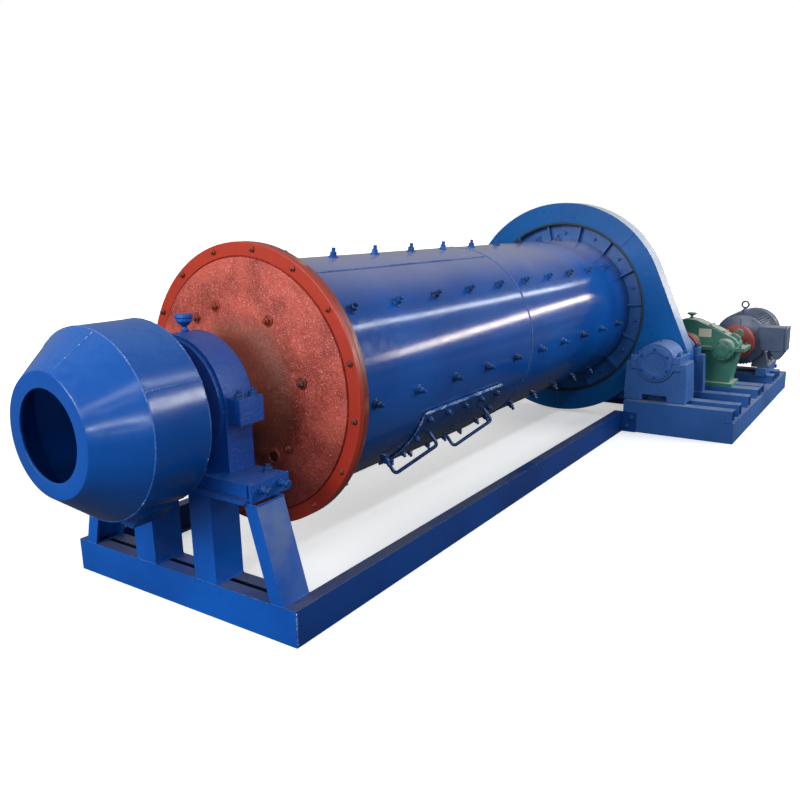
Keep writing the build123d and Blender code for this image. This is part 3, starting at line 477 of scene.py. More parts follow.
def build_cast_skin():
    """Sand-cast skin: lumps of about a centimetre, grains of two millimetres and scattered pits."""
    tree, given, result = new_group("cast_skin", (("F", "Lumps"), ("F", "Grains")), (("F", "Height"),))
    where = coordinates(tree)["Object"]
    lumps = product(tree, mottle(tree, where, 75.0, 3.0), given["Lumps"])
    grains = product(tree, mottle(tree, where, 300.0, 3.0), given["Grains"])
    pits = product(tree, ease(tree, mottle(tree, where, 140.0, 2.0), 0.30, 0.40), 0.3)
    feed(tree, result["Height"], total(tree, lumps, grains, pits))
    return tree


CAST_SKIN = build_cast_skin()


def cast_enamel(name, paint, shade, lumps=1.0, grains=0.5, depth=0.0022, **settings):
    """Enamel over a rough casting."""
    material = enamel(name, paint, shade, **settings)
    tree = material.node_tree
    rough = node_of(tree, "ShaderNodeGroup", node_tree=CAST_SKIN, Lumps=lumps, Grains=grains)
    relief = tree.nodes["relief"]
    relief.inputs["Distance"].default_value = depth
    feed(tree, relief.inputs["Height"], rough.outputs["Height"])
    return material


def eased(name, node, material, radius):
    """Casting from a CAD node of the base: the same solid with each sharp edge rounded over a radius."""
    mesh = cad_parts[node].data.copy()
    build = bmesh.new()
    build.from_mesh(mesh)
    bmesh.ops.remove_doubles(build, verts=build.verts, dist=MERGE * 10)
    bmesh.ops.dissolve_limit(build, angle_limit=FLAT_LIMIT, verts=build.verts, edges=build.edges)
    build.to_mesh(mesh)
    build.free()
    mesh.materials.clear()
    mesh.materials.append(material)
    mesh.shade_smooth()
    mesh.set_sharp_from_angle(angle=CAST_CREASE)
    piece = placed(name, mesh, "base", node)
    rounding = piece.modifiers.new("rounding", "BEVEL")
    rounding.width = radius
    rounding.segments = 2
    rounding.limit_method = "ANGLE"
    rounding.angle_limit = CAST_CREASE
    weighted = piece.modifiers.new("weighted", "WEIGHTED_NORMAL")
    weighted.keep_sharp = False


BEARING_BLUE = cast_enamel("bearing_blue", ENAMEL_BLUE, ENAMEL_NAVY, dust=0.4, chips=0.5, gloss=0.36)
for end in ("feed", "discharge"):
    eased(f"{end}_bearing_block", f"{end}_bearing_housing", BEARING_BLUE, 0.006)
    eased(f"{end}_bearing_cover", f"{end}_bearing_cap", BEARING_BLUE, 0.004)
finish(BEARING_BLUE, "feed_bearing_stops", "discharge_bearing_stops")


def circle(count, first=0.0):
    """Cosines and sines of angles evenly round a circle, the first given in degrees."""
    turn = radians(first) + np.arange(count) * 2 * pi / count
    return np.cos(turn), np.sin(turn)


def prism_stack(*steps):
    """Prisms stacked on Z, each given as sides, radius, low and high, with its top edge chamfered."""
    shapes = []
    for sides, radius, low, high in steps:
        chamfer = min(0.2 * radius, (high - low) / 3)
        rings = np.array([(radius, low), (radius, high - chamfer), (radius - chamfer, high)])
        around = np.stack((*circle(sides), np.zeros(sides)), axis=-1)
        points = rings[:, :1, None] * around + rings[:, 1:, None] * np.array((0, 0, 1))
        shapes.append((points, capped_rings(3, sides)))
    return joined(shapes)


def scattered(shape, places, ahead, seed=3):
    """Copies of a shape: each is spun about Z by chance, its Z turned to look ahead, and put in its place."""
    points, faces = shape
    places = np.asarray(places, float).reshape(-1, 3)
    ahead = unit(np.broadcast_to(np.asarray(ahead, float), places.shape))
    helper = np.where(np.abs(ahead[:, 2:]) < 0.9, np.array((0, 0, 1.0)), np.array((1.0, 0, 0)))
    right = unit(np.cross(helper, ahead))
    up = np.cross(ahead, right)
    spin = np.random.default_rng(seed).uniform(0, 2 * pi, (len(places), 1))
    first, second = np.cos(spin) * right + np.sin(spin) * up, np.cos(spin) * up - np.sin(spin) * right
    axes = np.stack((first, second, ahead), axis=-1)
    copies = np.einsum("nij,kj->nki", axes, points) + places[:, None]
    step = len(points) * np.arange(len(places))[:, None, None]
    return copies, [(block[None] + step).reshape(-1, block.shape[1]) for block in faces]


BOLT_BLUE = enamel("bolt_blue", (0.002, 0.078, 0.330, 1), (0.002, 0.030, 0.120, 1), dust=0.1, chips=0.0,
                   gloss=0.30, skin=0.0005)
CAP_BOLT = prism_stack((16, 0.020, 0, 0.003), (6, 0.0165, 0.003, 0.017), (10, 0.009, 0.017, 0.026))
JACK_NUT = prism_stack((6, 0.0155, 0, 0.011))
JACK_HEAD = prism_stack((6, 0.0150, 0, 0.013))
HEAD_INSET = 0.012


def bearing_bolts():
    """Ear bolts, foot bolts, and the nuts and heads of the jack bolts, at both ends."""
    shapes = []
    for end, mirror in (("feed", 1), ("discharge", -1)):
        cap_low, cap_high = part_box(f"{end}_bearing_cap")
        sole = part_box(f"{end}_bearing_housing")[0].z
        stop_low, stop_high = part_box(f"{end}_bearing_stops")
        middle = (cap_low.x + cap_high.x) / 2
        ears = [(middle + dx, side * EAR_BOLT_Y, cap_low.z + EAR_TOP) for dx in (-BOLT_ROW, BOLT_ROW)
                for side in (-1, 1)]
        feet = [(middle + mirror * FOOT_BOLT_X, side * FOOT_BOLT_Y, sole + FOOT_TOP) for side in (-1, 1)]
        shapes.append(scattered(CAP_BOLT, ears + feet, (0, 0, 1)))
        xs = [stop_low.x + share * (stop_high.x - stop_low.x) for share in (0.25, 0.75)]
        for side in (-1, 1):
            for part, y, seed in ((JACK_NUT, STOP_PLATE_Y, 3), (JACK_HEAD, stop_high.y - HEAD_INSET, 8)):
                places = [(x, side * y, sole + JACK_HEIGHT) for x in xs]
                shapes.append(scattered(part, places, (0, side, 0), seed))
    return joined(shapes)


new_piece("bearing_bolts", bearing_bolts(), BOLT_BLUE, "base")


def rounded(corners, steps=4):
    """Closed outline from corners (a, b, size): each becomes the curve (1-t)^2 P + 2t(1-t) C + t^2 Q."""
    corners = np.asarray(corners, float)
    place, size = corners[:, :2], corners[:, 2:]
    before = np.roll(place, 1, axis=0) - place
    after = np.roll(place, -1, axis=0) - place
    start, end = (place + gap * np.minimum(0.5, size / np.linalg.norm(gap, axis=1, keepdims=True))
                  for gap in (before, after))
    t = np.linspace(0, 1, steps)[None, :, None]
    curve = (1 - t)**2 * start[:, None] + 2 * t * (1 - t) * place[:, None] + t**2 * end[:, None]
    return curve.reshape(-1, 2)


def spread(outline, step):
    """Closed outline with points added so that neighbours are at most a step apart."""
    gap = np.roll(outline, -1, axis=0) - outline
    counts = np.maximum(1, np.ceil(np.linalg.norm(gap, axis=1) / step)).astype(int)
    number = np.repeat(np.arange(len(outline)), counts)
    share = (np.arange(counts.sum()) - np.repeat(np.cumsum(counts) - counts, counts)) / counts[number]
    return outline[number] + share[:, None] * gap[number]


def turned(outline, centre, axis=(1, 0, 0), start=(0, -1, 0), segments=48):
    """Surface of revolution: centre + s axis + r (cos t start + sin t side) for each (s, r) of an outline.

    The side stands square to the start and the axis.
    """
    axis, start = np.array(axis, float), np.array(start, float)
    cosines, sines = circle(segments)
    spoke = cosines[:, None] * start + sines[:, None] * np.cross(start, axis)
    points = np.array(centre) + outline[None, :, :1] * axis + outline[None, :, 1:] * spoke[:, None]
    return points, [grid_faces(segments, len(outline), close_rows=True, close_columns=True)]


def grease_cup(node):
    """Screw-down cup on its stem: a knurled lid over a body that tapers to the stem."""
    low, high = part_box(node)
    reach = (high.x - low.x) / 2
    tall = high.z - low.z
    body = reach - 0.003
    outline = [(0, 0.0004, 0), (0, 0.013, 0.001), (0.010, 0.013, 0.001), (0.013, 0.009, 0.002),
               (0.019, 0.009, 0.002), (0.034, reach - 0.006, 0.004), (0.038, body, 0.001),
               (tall - 0.014, body, 0.001), (tall - 0.012, reach, 0.002), (tall, reach, 0.003),
               (tall, 0.0004, 0)]
    centre = ((low.x + high.x) / 2, (low.y + high.y) / 2, low.z)
    return turned(rounded(outline), centre, segments=40, **UPRIGHT)


for end in ("feed", "discharge"):
    cup = f"{end}_grease_cup"
    new_piece(f"{cup}_body", grease_cup(cup), BEARING_BLUE, "base", cup)

# Drum shell
# Two cans of rolled 12 mm plate welded end to end, with a welded flange ring at each end. The rows
# of bolts hold the liner plates inside; each has a plate washer, a sealing cup and a nut.
SHELL_LOW, SHELL_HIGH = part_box("drum_shell")
FLANGE_LOW, FLANGE_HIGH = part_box("shell_flanges")
MILL_Z = (SHELL_LOW.z + SHELL_HIGH.z) / 2
MILL_AXIS = (0.0, 0.0, MILL_Z)
SHELL_RADIUS = (SHELL_HIGH.z - SHELL_LOW.z) / 2
SHELL_WALL = 0.012
FLANGE_RADIUS = (FLANGE_HIGH.z - FLANGE_LOW.z) / 2
FLANGE_THICK = 0.025
FLANGE_FIT = 0.0003
SHELL_X0 = FLANGE_LOW.x + FLANGE_THICK
SHELL_X1 = FLANGE_HIGH.x - FLANGE_THICK
CAN_JOINT = SHELL_X0 + 1.480
NEAR_CAN_SEAM = 64.0
FAR_CAN_SEAM = 200.0
ROLL_WAVE = 0.00025
DRUM_SEGMENTS = 288
SHELL_GRID = 0.03
CEMENT_DUST = (0.27, 0.28, 0.44, 1)
WORN_RED = (0.40, 0.20, 0.15, 1)


def waves(points, size, seed, count=16):
    """Smooth chance field: the sum of sine waves in random directions over the root of their count."""
    rng = np.random.default_rng(seed)
    runs = unit(rng.normal(size=(count, 3)))
    phase = rng.uniform(0, 2 * pi, count)
    return np.sin(points @ runs.T * (2 * pi / size) + phase).sum(axis=-1) / sqrt(count)


def polar(radius, degrees_up, x):
    """Places on the mill at a radius and at angles from -Y towards +Z, and the directions outwards."""
    angle, x = np.broadcast_arrays(np.radians(np.asarray(degrees_up, float)), np.asarray(x, float))
    out = np.stack((np.zeros(angle.shape), -np.cos(angle), np.sin(angle)), axis=-1)
    places = out * radius + np.stack((x, np.zeros(x.shape), np.full(x.shape, MILL_Z)), axis=-1)
    return places.reshape(-1, 3), out.reshape(-1, 3)


def rolled_shell():
    """Tube whose outer radius rises and falls by a fraction of a millimetre, as plate does from the rolls."""
    inner = SHELL_RADIUS - SHELL_WALL
    corners = [(x, radius, 0) for x, radius in ((SHELL_LOW.x, inner), (SHELL_LOW.x, SHELL_RADIUS),
                                                (SHELL_HIGH.x, SHELL_RADIUS), (SHELL_HIGH.x, inner))]
    points, faces = turned(spread(rounded(corners, steps=2), SHELL_GRID), MILL_AXIS, segments=DRUM_SEGMENTS)
    radial = points - np.array(MILL_AXIS)
    radial[..., 0] = 0
    radius = np.linalg.norm(radial, axis=-1, keepdims=True)
    rolls = waves(points, 0.9, 4)[..., None] + 0.5 * waves(points, 0.31, 5)[..., None]
    return points + np.where(radius > inner + SHELL_WALL / 2, ROLL_WAVE * rolls * radial / radius, 0), faces


def waver(tree, where, per_metre, detail, amount):
    """Mottle round zero, which makes a border ragged by an amount."""
    return product(tree, maths(tree, "SUBTRACT", mottle(tree, where, per_metre, detail), 0.5), amount)


def shell_enamel():
    """Glossy enamel of the drum; the dust of the yard has settled along its top, thin at its border."""
    # Painted shade: a heavy undershade darkens the drum's lower side.
    material = enamel("shell_blue", (0.004, 0.080, 0.360, 1), (0.003, 0.062, 0.300, 1), dust=0.0, chips=0.0,
                      soot=0.85, gloss=0.15, skin=0.00003)
    tree = material.node_tree
    where = coordinates(tree)["Object"]
    up = maths(tree, "SUBTRACT", parts_of(tree, where)["Z"], MILL_Z)
    height = total(tree, maths(tree, "DIVIDE", up, SHELL_RADIUS), waver(tree, where, 3.0, 5.0, 0.20))
    dusty = ease(tree, height, 0.60, 1.02)
    return laid_over(material, product(tree, dusty, 0.85), CEMENT_DUST)


new_piece("rolled_shell", rolled_shell(), shell_enamel(), "drum", "drum_shell")


def flange_rings():
    """Ring at each end of the shell with a small chamfer at its outer corners."""
    rings = []
    inner = SHELL_RADIUS + FLANGE_FIT
    for x0 in (FLANGE_LOW.x, SHELL_X1):
        x1 = x0 + FLANGE_THICK
        corners = [(x0, inner, 0), (x0, FLANGE_RADIUS, 0.002), (x1, FLANGE_RADIUS, 0.002), (x1, inner, 0)]
        rings.append(turned(rounded(corners, steps=3), MILL_AXIS, segments=DRUM_SEGMENTS))
    return joined(rings)


def flange_finish():
    """Flange rim: red primer that handling has rubbed pale in patches."""
    material = enamel("flange_red", (0.26, 0.036, 0.018, 1), (0.17, 0.028, 0.016, 1), dust=0.25, chips=0.9,
                      gloss=0.34, dust_colour=(0.30, 0.22, 0.20, 1), chip_colour=(0.62, 0.42, 0.34, 1))
    tree = material.node_tree
    worn = ease(tree, mottle(tree, coordinates(tree)["Object"], 9.0, 5.0), 0.52, 0.74)
    return laid_over(material, worn, WORN_RED)


new_piece("flange_rings", flange_rings(), flange_finish(), "drum", "shell_flanges")


def ring_bead(x, radius, size=BEAD_RADIUS, out_x=0.0, start=0.0, stop=360.0, seed=1):
    """Bead round the mill axis at a station; its outward direction leans along X by out_x."""
    whole = stop - start >= 360
    count = int(radius * radians(stop - start) / (RIPPLE / 3))
    places, out = polar(radius, np.linspace(start, stop, count, endpoint=not whole), x)
    return bead(places, out + np.array((out_x, 0, 0)), size, closed=whole, seed=seed)


def long_bead(degrees_up, x0, x1, radius, size=BEAD_RADIUS, radius_end=None, seed=1):
    """Bead along the mill at one angle, from a radius at x0 to a radius at x1."""
    low, out = polar(radius, degrees_up, x0)
    high = polar(radius_end or radius, degrees_up, x1)[0]
    return bead(along([low[0], high[0]]), out[0], size, seed=seed)


def shell_beads():
    """Seam between the cans, a lengthwise seam in each can, and the fillet inside the near flange."""
    return joined([ring_bead(CAN_JOINT, SHELL_RADIUS, 0.0040, seed=2),
                   ring_bead(SHELL_X0, SHELL_RADIUS, 0.0060, out_x=1.0, seed=3),
                   long_bead(NEAR_CAN_SEAM, SHELL_X0, CAN_JOINT, SHELL_RADIUS, 0.0042, seed=5),
                   long_bead(FAR_CAN_SEAM, CAN_JOINT, SHELL_X1, SHELL_RADIUS, 0.0042, seed=6)])


# Painted highlight: the shell's seams are a lighter blue than the enamel, for the light their crests catch;
# the pale tone on top is dust.
LIT_SEAM_BLUE = enamel("seam_blue_lit", (0.110, 0.180, 0.400, 1), (0.020, 0.090, 0.300, 1), dust=0.9, chips=0.0,
                   gloss=0.22, skin=0.0010, dust_colour=(0.30, 0.38, 0.56, 1))
new_piece("shell_welds", shell_beads(), LIT_SEAM_BLUE, "drum")

LINER_ROWS = 8
LINER_FIRST_ROW = 38.3
LINER_COLUMNS = 10
LINER_FIRST_X = 0.140
LINER_PITCH = 0.2894
LINER_BOLT = prism_stack((18, 0.0215, 0, 0.0045), (16, 0.0165, 0.0045, 0.0095), (6, 0.0150, 0.0095, 0.0235),
                         (10, 0.0085, 0.0235, 0.0400))
DOOR_ROWS = (18, 70)
DOOR_CLEARANCE = 0.03


def liner_bolts():
    """Bolts on a grid of rows round the shell and columns along it, each dropped where the door lies."""
    rows = LINER_FIRST_ROW + 360 / LINER_ROWS * np.arange(LINER_ROWS)
    columns = SHELL_X0 + LINER_FIRST_X + LINER_PITCH * np.arange(LINER_COLUMNS)
    angle, x = np.meshgrid(rows, columns)
    places, out = polar(SHELL_RADIUS - 0.0005, angle.ravel(), x.ravel())
    door_low, door_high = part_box("manhole_door")
    from_middle = np.abs(places[:, 0] - (door_low.x + door_high.x) / 2)
    below_axis = np.degrees(np.arctan2(MILL_Z - places[:, 2], -places[:, 1]))
    at_door = from_middle < (door_high.x - door_low.x) / 2 + DOOR_CLEARANCE
    at_door &= (below_axis > DOOR_ROWS[0]) & (below_axis < DOOR_ROWS[1])
    return scattered(LINER_BOLT, places[~at_door], out[~at_door], seed=21)


new_piece("liner_bolts", liner_bolts(), BOLT_BLUE, "drum")

# End covers
# Heavy castings with the hollow trunnion in one piece, bolted to the flange rings. Red primer on the
# sand-cast disc, with pale pink specks painted on as the sparkle of its grains in the light; the bolted rim
# is machined smooth.
COVER_LOW, COVER_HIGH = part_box("feed_end_cover")
FAR_COVER_LOW, FAR_COVER_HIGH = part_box("discharge_end_cover")
BORE_RADIUS = 0.115
JOURNAL_RADIUS = 0.150
FEED_JOURNAL = 0.271
DISCHARGE_JOURNAL = 0.169
COLLAR_RADIUS = 0.205
COLLAR_THICK = 0.024
NECK_RADIUS = 0.190
NECK_CURVE = 0.085
RIM_WIDTH = 0.050
RIM_INNER = FLANGE_RADIUS - RIM_WIDTH
CONE_DEPTH = 0.026
COVER_STEP = 0.005
GROOVE = 0.011
COVER_WALL = 0.042
CAST_WAVE = 0.0016
CAST_LIMIT = 0.003
CAST_GRID = 0.0072
SMOOTH_BAND = 0.012
ROUGH_FADE = 0.02
CAST_RED = (0.29, 0.031, 0.018, 1)
CAST_ROSE = (0.52, 0.078, 0.050, 1)
SPARKLE_PINK = (0.82, 0.33, 0.26, 1)
TRUNNION_BROWN = (0.17, 0.045, 0.022, 1)
SHADED_RED = (0.13, 0.020, 0.012, 1)


def end_cover(tip, face, toward):
    """Turned outline of the cover, rough-cast between rim and neck: the skin moves by waves of two lengths.

    The tip is the trunnion's end and face the cover's face on the shell flange; toward is +1 at the feed
    end, where the trunnion has a collar, and -1 at the other.
    """
    disc = face - toward * (FLANGE_THICK + COVER_STEP)
    ring = face - toward * FLANGE_THICK
    groove = disc + toward * GROOVE
    corners = [(tip, BORE_RADIUS, 0.004), (tip, JOURNAL_RADIUS, 0.003)]
    shoulder = tip + toward * DISCHARGE_JOURNAL
    if toward > 0:
        collar = tip + COLLAR_THICK
        corners[1:] = [(tip, COLLAR_RADIUS, 0.003), (collar, COLLAR_RADIUS, 0.003),
                       (collar, JOURNAL_RADIUS, 0)]
        shoulder = tip + FEED_JOURNAL
    corners += [(shoulder, JOURNAL_RADIUS, 0), (shoulder, NECK_RADIUS, 0.006),
                (disc - toward * CONE_DEPTH, NECK_RADIUS, NECK_CURVE), (disc, RIM_INNER - COVER_STEP, 0.004),
                (groove, RIM_INNER - COVER_STEP + 0.001, 0), (groove, RIM_INNER, 0), (ring, RIM_INNER, 0.001),
                (ring, FLANGE_RADIUS, 0.003), (face, FLANGE_RADIUS, 0.002),
                (face, NECK_RADIUS + COVER_WALL, 0), (face - toward * COVER_WALL, BORE_RADIUS, 0.01)]
    points, faces = turned(spread(rounded(corners, steps=7), CAST_GRID), MILL_AXIS, segments=DRUM_SEGMENTS)
    radius = np.hypot(points[..., 1], points[..., 2] - MILL_Z)
    station = (points[..., 0] - shoulder) * toward
    rough = np.clip((RIM_INNER - SMOOTH_BAND - radius) / ROUGH_FADE, 0, 1)
    rough *= np.clip(station / ROUGH_FADE, 0, 1)
    rough = rough * (radius > BORE_RADIUS + 0.03) * (np.abs(points[..., 0] - face) > 0.01)
    lift = CAST_WAVE * (0.6 * waves(points, 0.12, 11) + 0.5 * waves(points, 0.035, 12))
    points[..., 0] -= toward * rough * np.minimum(lift, CAST_LIMIT)
    return points, faces


def from_axis(tree, where):
    """Height above the mill axis, and distance from it."""
    at = parts_of(tree, where)
    up = maths(tree, "SUBTRACT", at["Z"], MILL_Z)
    return up, maths(tree, "SQRT", total(tree, product(tree, up, up), product(tree, at["Y"], at["Y"])))


def cover_finish():
    """Red primer: smooth on the rim, mottled and rough inside it with painted sparkle, darker brown towards
    the trunnion and painted shade low down.
    """
    material = cast_enamel("cover_red_cast", (0.42, 0.034, 0.014, 1), (0.36, 0.030, 0.013, 1), lumps=0.9,
                           grains=0.8, depth=0.0030, dust=0.15, chips=0.3, soot=0.25, gloss=0.36,
                           dust_colour=(0.45, 0.20, 0.16, 1), chip_colour=(0.60, 0.30, 0.24, 1))
    tree = material.node_tree
    where = coordinates(tree)["Object"]
    up, radius = from_axis(tree, where)
    inside = ease(tree, radius, RIM_INNER - 0.002, RIM_INNER - 0.006)
    cast = blend(tree, ease(tree, mottle(tree, where, 7.0, 6.0), 0.36, 0.66), CAST_RED, CAST_ROSE)
    # Painted highlight: pale pink specks stand for the sparkle of the cast grains.
    painted_sparkle = ease(tree, mottle(tree, where, 190.0, 4.0), 0.56, 0.66)
    # Darker brown towards the trunnion.
    toward_trunnion = ease(tree, total(tree, radius, waver(tree, where, 12.0, 4.0, 0.10)), 0.33, 0.20)
    # Painted shade: the lower side of the disc is laid over with SHADED_RED.
    low = ease(tree, up, 0.05, -0.50)
    for mask, strength, colour in ((painted_sparkle, 0.60, SPARKLE_PINK), (toward_trunnion, 0.80, TRUNNION_BROWN),
                                   (low, 0.55, SHADED_RED)):
        cast = blend(tree, product(tree, mask, strength), cast, colour)
    height = tree.nodes["relief"].inputs["Height"]
    soft = total(tree, 0.06, product(tree, inside, 0.94))
    feed(tree, height, product(tree, height.links[0].from_socket, soft))
    return laid_over(material, inside, cast)


COVER_RED = cover_finish()
for name, node, tip, face, toward in (
        ("feed_cover_casting", "feed_end_cover", COVER_LOW.x, COVER_HIGH.x, 1),
        ("discharge_cover_casting", "discharge_end_cover", FAR_COVER_HIGH.x, FAR_COVER_LOW.x, -1)):
    new_piece(name, end_cover(tip, face, toward), COVER_RED, "drum", node)

BOLT_RED = enamel("bolt_red", (0.30, 0.045, 0.022, 1), (0.12, 0.030, 0.020, 1), dust=0.1, chips=0.2,
                  gloss=0.26, skin=0.0005, chip_colour=(0.66, 0.48, 0.42, 1))
RIM_BOLTS = 16
RIM_BOLT_CIRCLE = 0.518
RIM_FIRST = 14.4
DISC_BOLTS = 7
DISC_BOLT_CIRCLE = 0.300
DISC_FIRST = 8.5
MOVED_BOLT = 2
ODD_BOLTS = ((131.5, 0.337), (111.4, 0.324))
RIM_BOLT = prism_stack((6, 0.0118, 0, 0.0090), (10, 0.0065, 0.0090, 0.0160))
RIM_NUT = prism_stack((6, 0.0118, 0, 0.0100), (10, 0.0065, 0.0100, 0.0190))
DISC_BOLT = prism_stack((18, 0.0225, 0, 0.0035), (6, 0.0145, 0.0035, 0.0155), (10, 0.0080, 0.0155, 0.0250))


def disc_station(radius, face, toward):
    """Station of the cover's conical disc at a radius."""
    outer = RIM_INNER - COVER_STEP
    share = (outer - radius) / (outer - NECK_RADIUS)
    return face - toward * (FLANGE_THICK + COVER_STEP + share * CONE_DEPTH)


def disc_place(radius, degrees_up):
    """Place on the feed cover's disc."""
    return polar(radius, degrees_up, disc_station(radius, COVER_HIGH.x, 1))[0][0]


def cover_bolts():
    """Ring of bolts through the rims with nuts behind, and the bolts of the end liners on the disc.

    On the feed cover two bolts of the disc sit off the circle, and it has one more than the other cover.
    """
    shapes = []
    rim_angles = RIM_FIRST + 360 / RIM_BOLTS * np.arange(RIM_BOLTS)
    disc_angles = DISC_FIRST + 360 / DISC_BOLTS * np.arange(DISC_BOLTS)
    for face, toward, on_circle in ((COVER_HIGH.x, 1, np.delete(disc_angles, MOVED_BOLT)),
                                    (FAR_COVER_LOW.x, -1, disc_angles)):
        places = polar(RIM_BOLT_CIRCLE, rim_angles, face - toward * FLANGE_THICK)[0]
        shapes.append(scattered(RIM_BOLT, places, (-toward, 0, 0), seed=31))
        places = polar(DISC_BOLT_CIRCLE, on_circle, disc_station(DISC_BOLT_CIRCLE, face, toward))[0]
        shapes.append(scattered(DISC_BOLT, places, (-toward, 0, 0), seed=33))
    shapes.append(scattered(RIM_NUT, polar(RIM_BOLT_CIRCLE, rim_angles, SHELL_X0)[0], (1, 0, 0), seed=35))
    for angle, radius in ODD_BOLTS:
        shapes.append(scattered(DISC_BOLT, disc_place(radius, angle), (-1, 0, 0), seed=36))
    return joined(shapes)


new_piece("cover_bolts", cover_bolts(), BOLT_RED, "drum")

PLUG_PLACE = disc_place(0.283, -60.3)
PLUG_LIP = [(0.004, 0.023, 0), (-0.005, 0.023, 0.001), (-0.005, 0.029, 0.002), (0.004, 0.035, 0)]
PLUG_FACE = [(0.004, 0, 0), (-0.001, 0, 0), (-0.001, 0.0215, 0.001), (0.004, 0.0225, 0)]
# Painted shade: the plug's face is near black, for the shadow inside a recessed hole that the raised lip
# can't cast.
PLUG_SHADE = enamel("plug_painted_shade", (0.050, 0.012, 0.008, 1), (0.030, 0.009, 0.006, 1), dust=0.0, chips=0.0,
                   gloss=0.40)
for name, corners, material in (("plug_lip", PLUG_LIP, COVER_RED), ("cover_plug", PLUG_FACE, PLUG_SHADE)):
    new_piece(name, turned(rounded(corners), PLUG_PLACE, segments=40), material, "drum")

# Feeder
# Plate feeder bolted to the feed trunnion: a nose ring, a cone bent from plate in narrow flats, a
# short drum and a scoop under it. Every joint is a hand-laid bead, with pale dots of bare metal and painted
# glints.
FEEDER_LOW, FEEDER_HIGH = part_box("feeder_shell")
FEEDER_RADIUS = (FEEDER_HIGH.z - FEEDER_LOW.z) / 2
NOSE_RADIUS = 0.197
MOUTH_RADIUS = 0.145
CONE_LENGTH = 0.144
FEEDER_WALL = 0.008
CONE_END = FEEDER_LOW.x + CONE_LENGTH
CONE_FLATS = 22
FLAT_DEPTH = 0.0009
DENT_DEPTH = 0.0005
DRUM_SEAM = 25.5
CONE_SEAM = 76.0
FEEDER_BOLT_CIRCLE = 0.180
FEEDER_BOLTS = 8
FEEDER_GRID = 0.02


def feeder():
    """Nose, cone and drum as one turned outline; a cosine draws the cone in at the middle of each flat."""
    x0, x1 = FEEDER_LOW.x, FEEDER_HIGH.x
    inside = FEEDER_RADIUS - FEEDER_WALL
    front, back = x0 + FEEDER_WALL, x1 - FEEDER_WALL
    corners = [(x0, MOUTH_RADIUS, 0.0015), (x0, NOSE_RADIUS, 0.002), (CONE_END, FEEDER_RADIUS, 0.002),
               (x1, FEEDER_RADIUS, 0.002), (x1, BORE_RADIUS, 0.001), (back, BORE_RADIUS, 0.001),
               (back, inside, 0), (CONE_END, inside, 0.001), (front, NOSE_RADIUS - FEEDER_WALL, 0),
               (front, MOUTH_RADIUS, 0.0015)]
    points, faces = turned(spread(rounded(corners, steps=4), FEEDER_GRID), MILL_AXIS,
                           segments=12 * CONE_FLATS)
    radial = points - np.array(MILL_AXIS)
    share = np.clip((points[..., 0] - x0) / CONE_LENGTH, 0, 1)
    radial[..., 0] = 0
    angle = np.arctan2(radial[..., 2], -radial[..., 1])
    flat = 1 - np.abs(np.cos(angle * CONE_FLATS / 2))
    depth = FLAT_DEPTH * 4 * share * (1 - share) * flat
    dents = DENT_DEPTH * waves(points, 0.16, 17)
    length = np.linalg.norm(radial, axis=-1)
    move = np.where(length > MOUTH_RADIUS + 0.002, (dents - depth) * (share > 0), 0)
    move = np.minimum(move, FEEDER_RADIUS - length)
    return points + move[..., None] * radial / length[..., None], faces


# Painted highlight: the dust colour here is a paler blue, laid in patches on the faces that turn up.
FEEDER_BLUE = enamel("feeder_blue", (0.0010, 0.074, 0.350, 1), (0.001, 0.060, 0.290, 1), dust=0.35, chips=0.5,
                     gloss=0.22, skin=0.0002, dust_colour=(0.08, 0.20, 0.50, 1))
new_piece("feeder_plate", feeder(), FEEDER_BLUE, "drum", "feeder_shell", crease=25.0)
finish(FEEDER_BLUE, "feeder_scoop")


def feeder_beads():
    """Round beads at the nose, the cone and the rear plate, and the seams of the cone and the drum."""
    front, size = FEEDER_LOW.x + 0.0040, 0.0032
    back, edge = FEEDER_HIGH.x - size, FEEDER_RADIUS - 0.0022
    return joined([ring_bead(front, NOSE_RADIUS - 0.001, 0.0024, out_x=-1.0, seed=41),
                   ring_bead(CONE_END, edge, size, seed=42),
                   ring_bead(back, edge, size, out_x=1.0, seed=43),
                   long_bead(DRUM_SEAM, CONE_END, back, FEEDER_RADIUS, 0.0026, seed=44),
                   long_bead(CONE_SEAM, front, CONE_END, NOSE_RADIUS + 0.003, 0.0020, FEEDER_RADIUS, 45)])


new_piece("feeder_welds", feeder_beads(), chipped_bead("bright_bead", 0.06), "drum")


def feeder_bolts():
    """Bolt heads on the trunnion's collar, which hold the feeder's rear plate."""
    angles = 360 / FEEDER_BOLTS * (np.arange(FEEDER_BOLTS) + 0.5)
    places = polar(FEEDER_BOLT_CIRCLE, angles, FEEDER_HIGH.x + COLLAR_THICK)[0]
    return scattered(RIM_BOLT, places, (1, 0, 0), seed=47)


new_piece("feeder_bolts", feeder_bolts(), BOLT_RED, "drum")

# Manhole door
# A curved plate over the manhole, bolted down all round, with a flat bar welded along its upper edge
# and two handles bent from round bar. The enamel is the drum's, painted darker as shade on this downward
# face, and scuffed at the bar.
DOOR_X0 = SHELL_X0 + 0.514
DOOR_LENGTH = 0.690
DOOR_X1 = DOOR_X0 + DOOR_LENGTH
DOOR_TOP = -22.0
DOOR_ARC = -44.0
DOOR_FACE = SHELL_RADIUS + 0.012
EDGE_BOLTS = 5
EDGE_BOLT_X = 0.047
END_BOLT_X = 0.022
EDGE_BOLT_ANGLE = 4.0
END_BOLT_SHARES = (0.36, 0.64)
